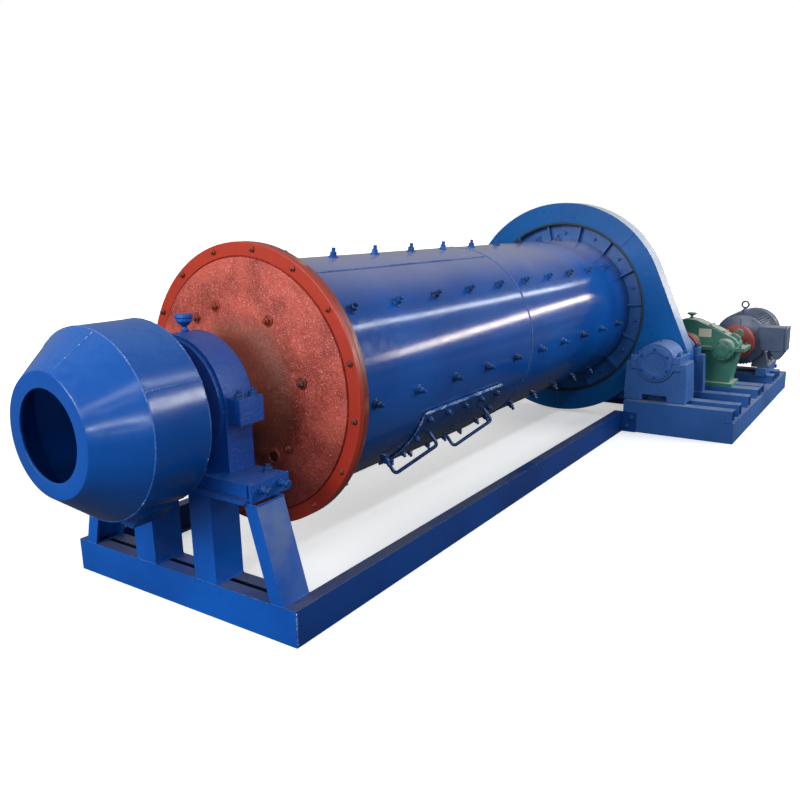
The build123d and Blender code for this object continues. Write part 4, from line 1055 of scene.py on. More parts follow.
# Painted shade: the door takes a darker copy of the drum's enamel and a heavy undershade for its downward
# face.
SHADED_DOOR_BLUE = enamel("door_blue_shaded", (0.004, 0.060, 0.250, 1), (0.003, 0.035, 0.150, 1), dust=0.1, chips=0.8,
                   soot=0.8, gloss=0.28)
finish(SHADED_DOOR_BLUE, "manhole_door")


def door_beads():
    """Bead along the top edge, and thin beads down both ends."""
    beads = [long_bead(DOOR_TOP + 0.2, DOOR_X0, DOOR_X1, DOOR_FACE - 0.002, 0.0065, seed=51)]
    for x, toward, seed in ((DOOR_X0, -1.0, 52), (DOOR_X1, 1.0, 53)):
        beads.append(ring_bead(x, DOOR_FACE - 0.006, 0.0045, toward, DOOR_TOP + DOOR_ARC, DOOR_TOP, seed))
    return joined(beads)


new_piece("door_welds", door_beads(), chipped_bead("door_bead", 0.16), "drum")
DOOR_BOLT = prism_stack((16, 0.0155, 0, 0.0030), (6, 0.0125, 0.0030, 0.0130), (10, 0.0070, 0.0130, 0.0230))


def door_bolts():
    """Bolts round the door: five along each long edge and two between them at each end."""
    xs = DOOR_X0 + EDGE_BOLT_X + (DOOR_LENGTH - 2 * EDGE_BOLT_X) / (EDGE_BOLTS - 1) * np.arange(EDGE_BOLTS)
    rows = np.array((DOOR_TOP - EDGE_BOLT_ANGLE, DOOR_TOP + DOOR_ARC + EDGE_BOLT_ANGLE))
    middle = DOOR_TOP + DOOR_ARC * np.array(END_BOLT_SHARES)
    angle = np.concatenate((np.repeat(rows, EDGE_BOLTS), np.repeat(middle, 2)))
    x = np.concatenate((np.tile(xs, 2), np.tile((DOOR_X0 + END_BOLT_X, DOOR_X1 - END_BOLT_X), 2)))
    return scattered(DOOR_BOLT, *polar(DOOR_FACE, angle, x), seed=55)


new_piece("door_bolts", door_bolts(), BOLT_BLUE, "drum")

# Ring gear and guard
# Cast ring gear bolted to the discharge flange, painted on its web and black with grease at the teeth.
# The guard is rolled from thin sheet, welded in sectors, with a rubber lip round the drum's opening.
GUARD_LOW, GUARD_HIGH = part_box("gear_guard_upper")
GUARD_RADIUS = GUARD_HIGH.z - MILL_Z
GUARD_OPENING = 0.567
GEAR_RIM_RADIUS = 0.6195
RING_WEB_X = SHELL_X1 - 0.026
WEB_BOLT_CIRCLE = RIM_BOLT_CIRCLE - 0.010
RIBS = 15
RIB_PHASE = 77.0
GEAR_GREASE = (0.010, 0.009, 0.008, 1)
GUARD_GLARE = (0.60, 0.64, 0.70, 1)
SHEET_SEAMS = (45.0, 90.0, 135.0, 225.0, 270.0)
RIM_SEAM = (-5.0, 195.0)


def gear_finish():
    """Blue enamel on the web and ribs, wet black grease from the rim outwards."""
    material = cast_enamel("gear_casting", (0.016, 0.125, 0.420, 1), (0.010, 0.090, 0.330, 1), lumps=0.6,
                           depth=0.0012, dust=0.6, chips=0.7, soot=0.7, gloss=0.36)
    tree = material.node_tree
    where = coordinates(tree)["Object"]
    reach = total(tree, from_axis(tree, where)[1], waver(tree, where, 14.0, 4.0, 0.05))
    greasy = ease(tree, reach, GEAR_RIM_RADIUS + 0.005, GEAR_RIM_RADIUS + 0.030)
    return laid_over(material, greasy, GEAR_GREASE)


GEAR_CASTING = gear_finish()
finish(GEAR_CASTING, "ring_gear", "pinion")


def guard_finish():
    """Blue enamel; the guard's rim band carries a painted highlight, pale glare from the height of the axis
    upwards.
    """
    material = enamel("guard_blue", (0.003, 0.118, 0.400, 1), (0.002, 0.098, 0.350, 1), dust=0.5, chips=0.2,
                      gloss=0.30, dust_colour=(0.42, 0.50, 0.66, 1), specular=0.25)
    tree = material.node_tree
    place = coordinates(tree)
    facing = parts_of(tree, place["Normal"])["X"]
    rim = ease(tree, product(tree, facing, facing), 0.5, 0.2)
    ragged = total(tree, parts_of(tree, place["Object"])["Z"],
                   product(tree, mottle(tree, place["Object"], 5.0, 5.0), 0.30))
    # Painted highlight: pale glare laid over the rim band from the axis upwards.
    glare_band = product(tree, rim, ease(tree, ragged, MILL_Z - 0.10, MILL_Z + 0.25), 0.9)
    return laid_over(material, glare_band, GUARD_GLARE)


finish(guard_finish(), "gear_guard_upper", "gear_guard_lower")


def web_bolts():
    """Nuts on the web between the ribs, on the bolts that go through the shell's flange."""
    angles = RIB_PHASE + 360 / RIBS * (np.arange(RIBS) + 0.5)
    return scattered(RIM_NUT, polar(WEB_BOLT_CIRCLE, angles, RING_WEB_X)[0], (-1, 0, 0), seed=61)


new_piece("web_bolts", web_bolts(), GEAR_CASTING, "drum")


def guard_beads():
    """Seams of the guard's sheets: radial ones on both faces, and one round each edge of the rim."""
    shapes = []
    size = 0.0022
    for x, out in ((GUARD_LOW.x, -1), (GUARD_HIGH.x, 1)):
        for angle in SHEET_SEAMS:
            ends = [polar(radius, angle, x)[0][0] for radius in (GUARD_OPENING, GUARD_RADIUS - 0.003)]
            shapes.append(bead(along(ends), (out, 0, 0), size, seed=int(angle)))
        shapes.append(ring_bead(x - out * size, GUARD_RADIUS - 0.0036, size, out, *RIM_SEAM, seed=64))
    return joined(shapes)


new_piece("guard_welds", guard_beads(), WELD_BLUE, "base")


def guard_lips():
    """Rubber profile pressed on the edge of each round opening: a ring of rounded section."""
    shapes = []
    reach, inner, outer = 0.0075, GUARD_OPENING - 0.006, GUARD_OPENING + 0.010
    corners = [(-reach, inner, 0.005), (-reach, outer, 0.004), (reach, outer, 0.004), (reach, inner, 0.005)]
    for x in (GUARD_LOW.x + 0.002, GUARD_HIGH.x - 0.002):
        shapes.append(turned(rounded(corners), (x, 0, MILL_Z), segments=224))
    return joined(shapes)


LIP_RUBBER = enamel("lip_rubber", (0.010, 0.030, 0.045, 1), (0.006, 0.018, 0.028, 1), dust=0.3, chips=0.0,
                    gloss=0.50)
new_piece("guard_lip", guard_lips(), LIP_RUBBER, "base")

# Drive frame
# Rectangle of the same channels as the mill frame, bolted to its side, with short channels laid
# across on their toes as seats for the pinion bearings, the reducer and the motor.
DRIVE_DUST = (0.20, 0.25, 0.36, 1)
DRIVE_BLUE = enamel("drive_blue", (0.026, 0.125, 0.410, 1), (0.018, 0.095, 0.330, 1), dust=0.9, chips=0.6,
                    dust_colour=DRIVE_DUST)
finish(DRIVE_BLUE, "drive_frame", "drive_cross_beams", "motor_slide_rails")
DRIVE_LOW, DRIVE_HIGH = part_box("drive_frame")
BEAMS_LOW, BEAMS_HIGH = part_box("drive_cross_beams")
PLATE_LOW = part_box("drive_joint_plate")[0]
HOUSING_LOW, HOUSING_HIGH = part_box("pinion_housing_front")
REAR_LOW, REAR_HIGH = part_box("pinion_housing_rear")
REDUCER_LOW, REDUCER_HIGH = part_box("reducer_lower_case")
RAILS_LOW, RAILS_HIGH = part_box("motor_slide_rails")
HIGH_BEAM = 0.080
LOW_BEAM = 0.107
LOW_BEAM_PITCH = 0.126
SPLIT_FLANGE_INSET = 0.048
MITRE = 0.05


def drive_frame_beads():
    """Beads along both toes of each cross beam and across the mitres of the frame's corners."""
    beads = []
    starts = [(DRIVE_LOW.x, HIGH_BEAM), (HOUSING_HIGH.x - HIGH_BEAM, HIGH_BEAM), (REAR_LOW.x, HIGH_BEAM),
              (REDUCER_LOW.x + SPLIT_FLANGE_INSET, LOW_BEAM), (REDUCER_HIGH.x - LOW_BEAM_PITCH, LOW_BEAM)]
    for x, width in starts:
        for at, out in ((x, -1), (x + width, 1)):
            for y in (BEAMS_LOW.y, BEAMS_HIGH.y - LEG_FLANGE):
                toe = [(at, end, CHANNEL_TOP) for end in (y + 0.001, y + LEG_FLANGE - 0.012)]
                beads.append(bead(along(toe), (out, 0, 1), seed=len(beads)))
    for x, toward in ((DRIVE_LOW.x, 1), (DRIVE_HIGH.x, -1)):
        for y, side in ((DRIVE_LOW.y, 1), (DRIVE_HIGH.y, -1)):
            mitre = [(x + toward * run, y + side * run, CHANNEL_TOP) for run in (0.004, MITRE)]
            beads.append(bead(along(mitre), (0, 0, 1), seed=len(beads)))
    return joined(beads)


new_piece("drive_frame_welds", drive_frame_beads(), WELD_BLUE, "base")
PLATE_BOLT = prism_stack((16, 0.018, 0, 0.003), (6, 0.0145, 0.003, 0.013), (10, 0.008, 0.013, 0.022))
PLATE_BOLT_PLACES = ((0.030, 0.090), (0.055, 0.036))
RAIL_BOLT_INSET = 0.02
RAIL_BOLT_DROP = 0.044


def joint_bolts():
    """Bolts of the joint plate, and those that hold the rails to the frame."""
    plate = [(PLATE_LOW.x, PLATE_LOW.y + y, z) for y, z in PLATE_BOLT_PLACES]
    ends = [(x, RAILS_LOW.y, RAILS_HIGH.z - RAIL_BOLT_DROP)
            for x in (RAILS_LOW.x + RAIL_BOLT_INSET, RAILS_HIGH.x - RAIL_BOLT_INSET)]
    return joined([scattered(PLATE_BOLT, plate, (-1, 0, 0), seed=71),
                   scattered(JACK_NUT, ends, (0, -1, 0), seed=72)])


new_piece("joint_bolts", joint_bolts(), BOLT_BLUE, "base")

# Pinion bearings
# Two split castings on feet, with bolted caps, a blind cover outside the front one and a grease
# nipple on each cap. The paint is the frame's and covers the bolts too.
DRIVE_CAST_BLUE = cast_enamel("drive_cast_blue", (0.022, 0.115, 0.390, 1), (0.014, 0.082, 0.300, 1), dust=0.5,
                              chips=0.5, gloss=0.36, dust_colour=DRIVE_DUST)
for end in ("front", "rear"):
    eased(f"pinion_block_{end}", f"pinion_housing_{end}", DRIVE_CAST_BLUE, 0.005)
    eased(f"pinion_cap_casting_{end}", f"pinion_cap_{end}", DRIVE_CAST_BLUE, 0.005)
PINION_Y = (HOUSING_LOW.y + HOUSING_HIGH.y) / 2
DRIVE_Z = HOUSING_HIGH.z
COVERS_LOW, COVERS_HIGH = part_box("pinion_bearing_covers")
CAP_LOW, CAP_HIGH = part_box("pinion_cap_front")
COVER_RADIUS = 0.104
COVER_BOLT_CIRCLE = COVER_RADIUS - 0.016
COVER_BOLTS = 6
SHAFT_HOLE = 0.050
SMALL_BOLT = prism_stack((6, 0.0100, 0, 0.0075))
NIPPLE = prism_stack((6, 0.0075, 0, 0.006), (10, 0.0045, 0.006, 0.014))
PAD_BOLT = prism_stack((16, 0.0165, 0, 0.003), (6, 0.0140, 0.003, 0.015), (10, 0.008, 0.015, 0.023))
PAD_HEIGHT = 0.044
PAD_BOLT_INSET = 0.019


def disc_places(radius, count, x, y, z, first=0.0):
    """Places evenly round a circle that faces along X."""
    cosines, sines = circle(count, first)
    return np.stack((np.full(count, x), y + radius * cosines, z + radius * sines), axis=-1)


def pinion_covers():
    """Blind cover with a turned step in front, and an open cover round the shaft behind."""
    x0, x1 = COVERS_LOW.x, HOUSING_LOW.x
    step = x0 + 0.003
    blind = [(step, 0, 0), (step, 0.062, 0.001), (x0, 0.066, 0.001), (x0, COVER_RADIUS, 0.002),
             (x1, COVER_RADIUS, 0), (x1, 0, 0)]
    x0, x1 = REAR_HIGH.x, COVERS_HIGH.x
    opened = [(x0, SHAFT_HOLE, 0), (x0, COVER_RADIUS, 0), (x1, COVER_RADIUS, 0.002), (x1, SHAFT_HOLE, 0.001)]
    return joined([turned(rounded(line), (0, PINION_Y, DRIVE_Z), segments=72) for line in (blind, opened)])


new_piece("pinion_covers", pinion_covers(), DRIVE_CAST_BLUE, "base", "pinion_bearing_covers")


def pinion_bolts():
    """Cap bolts on the side flanges, cover bolts, and the nipple on each cap."""
    shapes = []
    reach = (CAP_HIGH.y - CAP_LOW.y) / 2 - PAD_BOLT_INSET
    for low, high, inset in ((HOUSING_LOW.x, HOUSING_HIGH.x, 0.040), (REAR_LOW.x, REAR_HIGH.x, 0.024)):
        caps = [(x, PINION_Y + side * reach, DRIVE_Z + PAD_HEIGHT) for x in (low + inset, high - inset)
                for side in (-1, 1)]
        shapes.append(scattered(PAD_BOLT, caps, (0, 0, 1), seed=81))
        shapes.append(scattered(NIPPLE, ((low + high) / 2, PINION_Y, CAP_HIGH.z - 0.0005), (0, 0, 1)))
    for x, toward in ((COVERS_LOW.x, -1), (COVERS_HIGH.x, 1)):
        places = disc_places(COVER_BOLT_CIRCLE, COVER_BOLTS, x, PINION_Y, DRIVE_Z, 30.0)
        shapes.append(scattered(SMALL_BOLT, places, (toward, 0, 0)))
    return joined(shapes)


new_piece("pinion_bearing_bolts", pinion_bolts(), BOLT_BLUE, "base")

# Shafts and couplings
# Turned steel shafts with an oil film. The couplings are cast halves in red enamel, bolted through
# rubber bushes, with a turned groove round each rim.
BARE_STEEL = (0.42, 0.42, 0.43, 1)
OIL_STAIN = (0.16, 0.10, 0.07, 1)
COUPLING_RED = cast_enamel("coupling_red", (0.36, 0.045, 0.028, 1), (0.27, 0.035, 0.024, 1), lumps=0.3,
                           grains=0.3, depth=0.0010, dust=0.35, chips=0.6, dust_colour=(0.42, 0.24, 0.20, 1),
                           chip_colour=(0.55, 0.50, 0.48, 1))
COUPLING_PIN = prism_stack((6, 0.0095, 0, 0.008), (8, 0.0055, 0.008, 0.013))
HALF_GAP = 0.0012
GROOVE_DEPTH = 0.004
GROOVE_SHARES = (0.45, 0.60)


def turned_steel():
    """Bare steel: fine rings from the lathe, oil stains and a little rust."""
    material, tree, surface = new_material("turned_steel")
    surface["Metallic"].default_value = 1.0
    where = coordinates(tree)["Object"]
    drawn_out = node_of(tree, "ShaderNodeMapping", Vector=where, Scale=(1.0, 0.02, 0.02)).outputs[0]
    rings = mottle(tree, drawn_out, 900.0, 2.0)
    stain = ease(tree, mottle(tree, where, 16.0, 5.0), 0.50, 0.70)
    feed(tree, surface["Base Color"], blend(tree, stain, BARE_STEEL, OIL_STAIN))
    feed(tree, surface["Roughness"], total(tree, 0.22, product(tree, stain, 0.3)))
    relief = node_of(tree, "ShaderNodeBump", Distance=0.0002, Strength=0.6, Height=rings)
    feed(tree, surface["Normal"], relief.outputs[0])
    return material


finish(turned_steel(), "pinion_shaft", "reducer_output_shaft", "reducer_input_shaft", "motor_shaft")


def coupling(node, hub_radius, hub_length, bores, pins, pin_circle, body):
    """Two turned halves that meet in the middle, each a disc with a hub, and the pins between them."""
    low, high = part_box(node)
    x, y, z = ((a + b) / 2 for a, b in zip(low, high))
    radius = (high.z - low.z) / 2
    end = high.x - x
    disc = end - hub_length
    near, far = (share * disc for share in GROOVE_SHARES)
    shapes = []
    for toward, bore in zip((-1, 1), bores):
        corners = [(HALF_GAP, bore, 0.001), (HALF_GAP, radius, 0.002), (near, radius, 0.001),
                   (near, radius - GROOVE_DEPTH, 0.001), (far, radius - GROOVE_DEPTH, 0.001),
                   (far, radius, 0.001), (disc, radius, 0.003), (disc, hub_radius, 0.004),
                   (end, hub_radius, 0.003), (end, bore, 0.001)]
        outline = rounded([(toward * s, r, size) for s, r, size in corners])
        shapes.append(turned(outline, (x, y, z), segments=96))
        places = disc_places(pin_circle, pins, x + toward * disc, y, z)
        shapes.append(scattered(COUPLING_PIN, places, (toward, 0, 0)))
    new_piece(f"{node}_halves", joined(shapes), COUPLING_RED, body, node)


coupling("slow_coupling", 0.070, 0.022, (0.045, 0.045), 8, 0.096, "pinion_line")
coupling("fast_coupling", 0.052, 0.026, (0.024, 0.027), 6, 0.094, "motor_line")

# Reducer
# Two-shaft gear reducer in cast iron, green enamel: a lower and an upper case bolted at the shafts'
# height, with cast lugs, bearing covers, an inspection cover on the slope and a funnel breather.
REDUCER_GREEN = cast_enamel("reducer_green", (0.050, 0.220, 0.160, 1), (0.030, 0.150, 0.110, 1), lumps=0.5,
                            grains=0.3, depth=0.0014, dust=2.2, chips=0.8, dust_colour=(0.38, 0.41, 0.35, 1),
                            chip_colour=(0.50, 0.56, 0.50, 1))
for part in ("lower", "upper"):
    eased(f"reducer_{part}_casting", f"reducer_{part}_case", REDUCER_GREEN, 0.005)
UPPER_LOW, UPPER_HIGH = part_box("reducer_upper_case")
UPPER_MIDDLE = (UPPER_LOW.x + UPPER_HIGH.x) / 2
SEATS_LOW, SEATS_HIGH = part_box("reducer_bearing_covers")
SEAT_THICK = 0.012
STEP_SHARE = 0.35
SHAFT_CENTRES = 0.245
FAST_Y = PINION_Y - SHAFT_CENTRES
BIG_HUMP = 0.188
SMALL_HUMP = 0.086
BIG_COVER = 0.090
SMALL_COVER = 0.064
SLOW_HOLE = 0.047
FAST_HOLE = 0.026


def reducer_covers():
    """Four bearing covers with turned steps; the slow shaft comes out in front, the fast one behind."""
    shapes = []
    for inner, outer, holes in ((SEATS_LOW.x + SEAT_THICK, SEATS_LOW.x, (SLOW_HOLE, 0)),
                                (SEATS_HIGH.x - SEAT_THICK, SEATS_HIGH.x, (0, FAST_HOLE))):
        step = outer - (outer - inner) * STEP_SHARE
        for y, radius, bore in zip((PINION_Y, FAST_Y), (BIG_COVER, SMALL_COVER), holes):
            corners = [(inner, bore, 0), (inner, radius, 0), (step, radius, 0.002),
                       (step, radius * 0.72, 0.001), (outer, radius * 0.70, 0.002), (outer, bore, 0.001)]
            shapes.append(turned(rounded(corners), (0, y, DRIVE_Z), segments=72))
    return joined(shapes)


new_piece("reducer_covers", reducer_covers(), REDUCER_GREEN, "base",
          "reducer_bearing_covers")


def breather():
    """Funnel breather: a screwed stem, a waist and a domed cap."""
    low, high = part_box("reducer_breather")
    tall = high.z - low.z
    wide = (high.x - low.x) / 2
    corners = [(-0.002, 0, 0), (-0.002, 0.013, 0.001), (0.010, 0.013, 0.001), (0.012, 0.009, 0.001),
               (0.016, 0.009, 0.002), (0.027, wide - 0.003, 0.004), (0.029, wide, 0.001),
               (tall - 0.005, wide, 0.003), (tall, wide * 0.6, 0.005), (tall, 0, 0)]
    centre = ((low.x + high.x) / 2, (low.y + high.y) / 2, low.z)
    return turned(rounded(corners), centre, segments=40, **UPRIGHT)


new_piece("breather_cap", breather(), REDUCER_GREEN, "base", "reducer_breather")


def plate_shape(outline, origin, across, up, depth, chamfer=0.0015):
    """Plate: a closed outline (a, b) laid out along two directions and raised along their cross product.

    Four rings of points, the first and last drawn in towards the middle by the chamfer.
    """
    outline = np.asarray(outline, float)
    across, up = np.array(across, float), np.array(up, float)
    out = np.cross(across, up)
    drawn = outline - chamfer * unit(outline - outline.mean(axis=0))
    rings = ((drawn, 0.0), (outline, chamfer), (outline, depth - chamfer), (drawn, depth))
    points = np.stack([np.array(origin) + ring[:, :1] * across + ring[:, 1:] * up + height * out
                       for ring, height in rings])
    return points, capped_rings(4, len(outline))


def box_outline(width, height, corner):
    """Rounded rectangle about its middle."""
    a, b = width / 2, height / 2
    return rounded([(-a, -b, corner), (a, -b, corner), (a, b, corner), (-a, b, corner)])


def slope_frame():
    """Middle of the slope between the two humps, its direction downwards and its outward normal."""
    lean = np.arccos((BIG_HUMP - SMALL_HUMP) / SHAFT_CENTRES)
    normal = np.array((0, -np.cos(lean), np.sin(lean)))
    big = np.array((UPPER_MIDDLE, PINION_Y, DRIVE_Z)) + BIG_HUMP * normal
    small = np.array((UPPER_MIDDLE, FAST_Y, DRIVE_Z)) + SMALL_HUMP * normal
    return (big + small) / 2, unit(small - big), normal


LUG_HOLE = 0.013
LUG_RIM = 0.029
LUG_DEPTH = 0.018
LUG_ROOT = 0.012
SIGHT_COVER = (0.112, 0.120)
SIGHT_THICK = 0.008


def lifting_lug(y, hump, lean_degrees, side, gap):
    """Lug on a hump: a web that stands out from it at an angle above the side, and a ring at its end."""
    lean = radians(lean_degrees)
    up = np.array((0, side * cos(lean), sin(lean)))
    foot = np.array((UPPER_MIDDLE - LUG_DEPTH / 2, y, DRIVE_Z)) + (hump - LUG_ROOT) * up
    tall = gap + LUG_ROOT
    top, wide = tall - LUG_HOLE, LUG_RIM - 0.001
    web = [(-0.040, 0), (0.040, 0), (wide, top), (-wide, top)]
    ring = rounded([(0, LUG_HOLE, 0.002), (LUG_DEPTH, LUG_HOLE, 0.002), (LUG_DEPTH, LUG_RIM, 0.003),
                    (0, LUG_RIM, 0.003)])
    return [plate_shape(web, foot, np.cross((1, 0, 0), up), up, LUG_DEPTH, 0.001),
            turned(ring, foot + tall * up, segments=40)]


def reducer_details():
    """Inspection cover on the slope, and a lifting lug on each hump of the upper case."""
    centre, down = slope_frame()[:2]
    cover = plate_shape(box_outline(*SIGHT_COVER, 0.006), centre, (1, 0, 0), -down, SIGHT_THICK)
    return joined([cover, *lifting_lug(FAST_Y, SMALL_HUMP, 56, -1, 0.035),
                   *lifting_lug(PINION_Y, BIG_HUMP, 38, 1, 0.020)])


new_piece("reducer_details", reducer_details(), REDUCER_GREEN, "base")
SPLIT_FLANGE = 0.012
FLANGE_BOLTS = 7
FLANGE_BOLT_INSET = (SPLIT_FLANGE_INSET + 0.018, 0.030)
COVER_ROOM = 0.014
COVER_SCREW_SHARE = 0.86
SIGHT_SCREW_PLACES = ((-0.045, -0.048), (-0.045, 0.048), (0.045, -0.048), (0.045, 0.048))
FLANGE_BOLT = prism_stack((12, 0.0115, 0, 0.002), (6, 0.0095, 0.002, 0.010), (8, 0.005, 0.010, 0.015))
COVER_SCREW = prism_stack((6, 0.0072, 0, 0.0060))
SIGHT_SCREW = prism_stack((6, 0.0070, 0, 0.0050))


def reducer_bolts():
    """Split flange bolts, cover bolts and the screws of the inspection cover."""
    inset_x, inset_y = FLANGE_BOLT_INSET
    ys = np.linspace(UPPER_LOW.y + inset_y, UPPER_HIGH.y - inset_y, FLANGE_BOLTS)
    clear = ((np.abs(ys - PINION_Y) > BIG_COVER + COVER_ROOM)
             & (np.abs(ys - FAST_Y) > SMALL_COVER + COVER_ROOM))
    flange = [(x, y, DRIVE_Z + SPLIT_FLANGE) for x in (UPPER_LOW.x + inset_x, UPPER_HIGH.x - inset_x)
              for y in ys[clear]]
    shapes = [scattered(FLANGE_BOLT, flange, (0, 0, 1), seed=91)]
    step = SEAT_THICK * STEP_SHARE
    for x, toward in ((SEATS_LOW.x + step, -1), (SEATS_HIGH.x - step, 1)):
        places = [disc_places(radius * COVER_SCREW_SHARE, COVER_BOLTS, x, y, DRIVE_Z, first)
                  for radius, y, first in ((BIG_COVER, PINION_Y, 30.0), (SMALL_COVER, FAST_Y, 0.0))]
        shapes.append(scattered(COVER_SCREW, np.vstack(places), (toward, 0, 0), seed=92))
    centre, down, normal = slope_frame()
    screws = [centre + x * np.array((1, 0, 0)) + y * down + SIGHT_THICK * normal
              for x, y in SIGHT_SCREW_PLACES]
    shapes.append(scattered(SIGHT_SCREW, screws, normal, seed=93))
    return joined(shapes)


BOLT_GREEN = enamel("bolt_green", (0.016, 0.150, 0.095, 1), (0.010, 0.070, 0.050, 1), dust=0.3, chips=0.3,
                    gloss=0.30, chip_colour=(0.45, 0.48, 0.44, 1))
new_piece("reducer_bolts", reducer_bolts(), BOLT_GREEN, "base")
CREAM_PLATE = enamel("cream_plate", (0.62, 0.60, 0.47, 1), (0.50, 0.48, 0.38, 1), dust=0.2, chips=0.2,
                     soot=0.0, gloss=0.35, dust_colour=(0.45, 0.42, 0.35, 1))
CASE_WALL_INSET = 0.088
PLATE_PLACE = (UPPER_LOW.x + CASE_WALL_INSET + 0.0002, -0.848, 0.540)
pale_plate = plate_shape(box_outline(0.083, 0.056, 0.003), PLATE_PLACE, (0, -1, 0), (0, 0, 1), 0.0016, 0.0004)
new_piece("reducer_plate", pale_plate, CREAM_PLATE, "base")

# Motor
# Foot-mounted squirrel-cage motor: a cast body with cooling fins, ribbed end bells, a pressed cowl
# over the fan, an eye bolt, and a terminal box on its side. Grey-blue enamel, dusty between the fins.
MOTOR_DUST = (0.30, 0.31, 0.34, 1)
MOTOR_CHIP = (0.42, 0.44, 0.48, 1)
MOTOR_GREY = cast_enamel("motor_grey", (0.085, 0.125, 0.215, 1), (0.055, 0.085, 0.155, 1), lumps=0.4,
                         grains=0.4, depth=0.0010, dust=0.7, chips=0.6, soot=0.4, dust_colour=MOTOR_DUST,
                         chip_colour=MOTOR_CHIP)
BODY_LOW, BODY_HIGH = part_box("motor_body")
FOOT_REACH = (BODY_HIGH.y - BODY_LOW.y) / 2
BELL_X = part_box("motor_end_bells")[0].x
COWL_LOW, COWL_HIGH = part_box("motor_fan_cowl")
COWL_RADIUS = (COWL_HIGH.z - COWL_LOW.z) / 2
MOTOR_AXIS = (0, FAST_Y, DRIVE_Z)
BELL_DEPTH = 0.060
BODY_X0 = BELL_X + BELL_DEPTH
BODY_X1 = COWL_LOW.x - BELL_DEPTH
FIN_TIP = 0.188
FIN_ROOT = 0.166
FIN_END = 0.010
FIN_RUN_OUT = 0.002
END_BAND = FIN_ROOT + 0.008
FINS = 56
POINTS_PER_FIN = 6
FIN_SHARES = (0.34, 0.68)
FOOT_X0 = BELL_X + 0.085
FOOT_LENGTH = 0.330
FOOT_WIDTH = 0.120
FOOT_THICK = 0.022
FOOT_WEB = 0.060
FOOT_BOLT_INSET = (0.100, 0.024)
GRILLE_SHARE = 0.66
GRILLE_RING_SHARES = (0.10, 0.60)
GRILLE_RINGS = 6
GRILLE_BAR_SHARE = 1.34
RIB_WIDTH = 0.010
RIBS_A_BELL = 6
# Across and up of a plate that is drawn in Y and Z and raised along X.
SECTION = ((0, 1, 0), (0, 0, 1))


def finned_body():
    """Tube along X: the radius is a square wave of the angle with sloped flanks, but plain at both ends."""
    count = FINS * POINTS_PER_FIN
    phase = (np.arange(count) % POINTS_PER_FIN) / POINTS_PER_FIN
    radius = np.where((phase >= FIN_SHARES[0]) & (phase <= FIN_SHARES[1]), FIN_TIP, FIN_ROOT)
    ends = np.array((0, FIN_END, FIN_END + FIN_RUN_OUT))
    stations = np.concatenate((BODY_X0 + ends, BODY_X1 - ends[::-1]))
    finned = np.array((0, 0, 1, 1, 0, 0))[:, None]
    radii = END_BAND + (radius[None] - END_BAND) * finned
    cosines, sines = circle(count)
    points = np.stack((np.broadcast_to(stations[:, None], radii.shape), FAST_Y + radii * cosines,
                       DRIVE_Z + radii * sines), axis=-1)
    return points, capped_rings(len(stations), count)


def motor_feet():
    """Cast feet: a long sole under each side and two webs up to the body."""
    shapes = []
    height = DRIVE_Z - FIN_ROOT * 0.55 - BODY_LOW.z
    web_foot = FOOT_THICK - 0.002
    for side in (-1, 1):
        tip = FAST_Y + side * FOOT_REACH
        inner = -side * FOOT_WIDTH
        sole = rounded([(0, 0, 0.004), (inner, 0, 0.002), (inner, FOOT_THICK, 0.002), (0, FOOT_THICK, 0.006)])
        shapes.append(plate_shape(sole, (FOOT_X0, tip, BODY_LOW.z), *SECTION, FOOT_LENGTH, 0.003))
        web = rounded([(-side * 0.010, web_foot, 0), (inner, web_foot, 0), (inner, height, 0),
                       (-side * 0.034, height, 0.01)])
        for x in (FOOT_X0, FOOT_X0 + FOOT_LENGTH - FOOT_WEB):
            shapes.append(plate_shape(web, (x, tip, BODY_LOW.z), *SECTION, FOOT_WEB, 0.003))
    return joined(shapes)


def eye_bolt():
    """Forged eye: a ring of round section on a collar."""
    x, top = BODY_X0 + 0.095, DRIVE_Z + FIN_TIP
    ring, bar = 0.023, 0.0075
    cosines, sines = circle(12)
    outline = np.stack((bar * cosines, ring + bar * sines), axis=-1)
    collar = rounded([(-0.012, 0, 0), (-0.012, 0.022, 0.001), (0.018, 0.020, 0.002), (0.026, 0.010, 0.002),
                      (0.026, 0, 0)])
    return joined([turned(outline, (x, FAST_Y, top + 0.024 + ring + bar), segments=32),
                   turned(collar, (x, FAST_Y, top), segments=24, **UPRIGHT)])


def end_bells():
    """Front and back bell: a bolted rim, a dished face and a bearing boss, with six ribs across the dish."""
    shapes = []
    rim = FIN_TIP - 0.011
    hub = 0.030
    for x0, x1 in ((BODY_X0, BELL_X), (BODY_X1, COWL_LOW.x)):
        depth = x1 - x0
        recess = x1 - depth * 0.12
        corners = [(x0, 0, 0), (x0, rim, 0.001), (x0 + depth * 0.36, rim, 0.004),
                   (x0 + depth * 0.42, rim - 0.014, 0.003), (x0 + depth * 0.58, 0.088, 0.008),
                   (x0 + depth * 0.92, 0.076, 0.004), (x1, 0.070, 0.003), (x1, hub, 0.002), (recess, hub, 0),
                   (recess, 0, 0)]
        shapes.append(turned(rounded(corners), MOTOR_AXIS, segments=96))
        rib = rounded([(0.070, 0, 0), (0.158, 0, 0), (0.158, depth * 0.40, 0.004),
                       (0.080, depth * 0.86, 0.006)])
        for angle in 2 * pi / RIBS_A_BELL * (np.arange(RIBS_A_BELL) + 0.5):
            out = np.array((0, np.cos(angle), np.sin(angle)))
            origin = np.array((x0, FAST_Y, DRIVE_Z)) - RIB_WIDTH / 2 * np.cross(out, (1, 0, 0))
            shapes.append(plate_shape(rib, origin, out, (1, 0, 0), RIB_WIDTH))
    return joined(shapes)


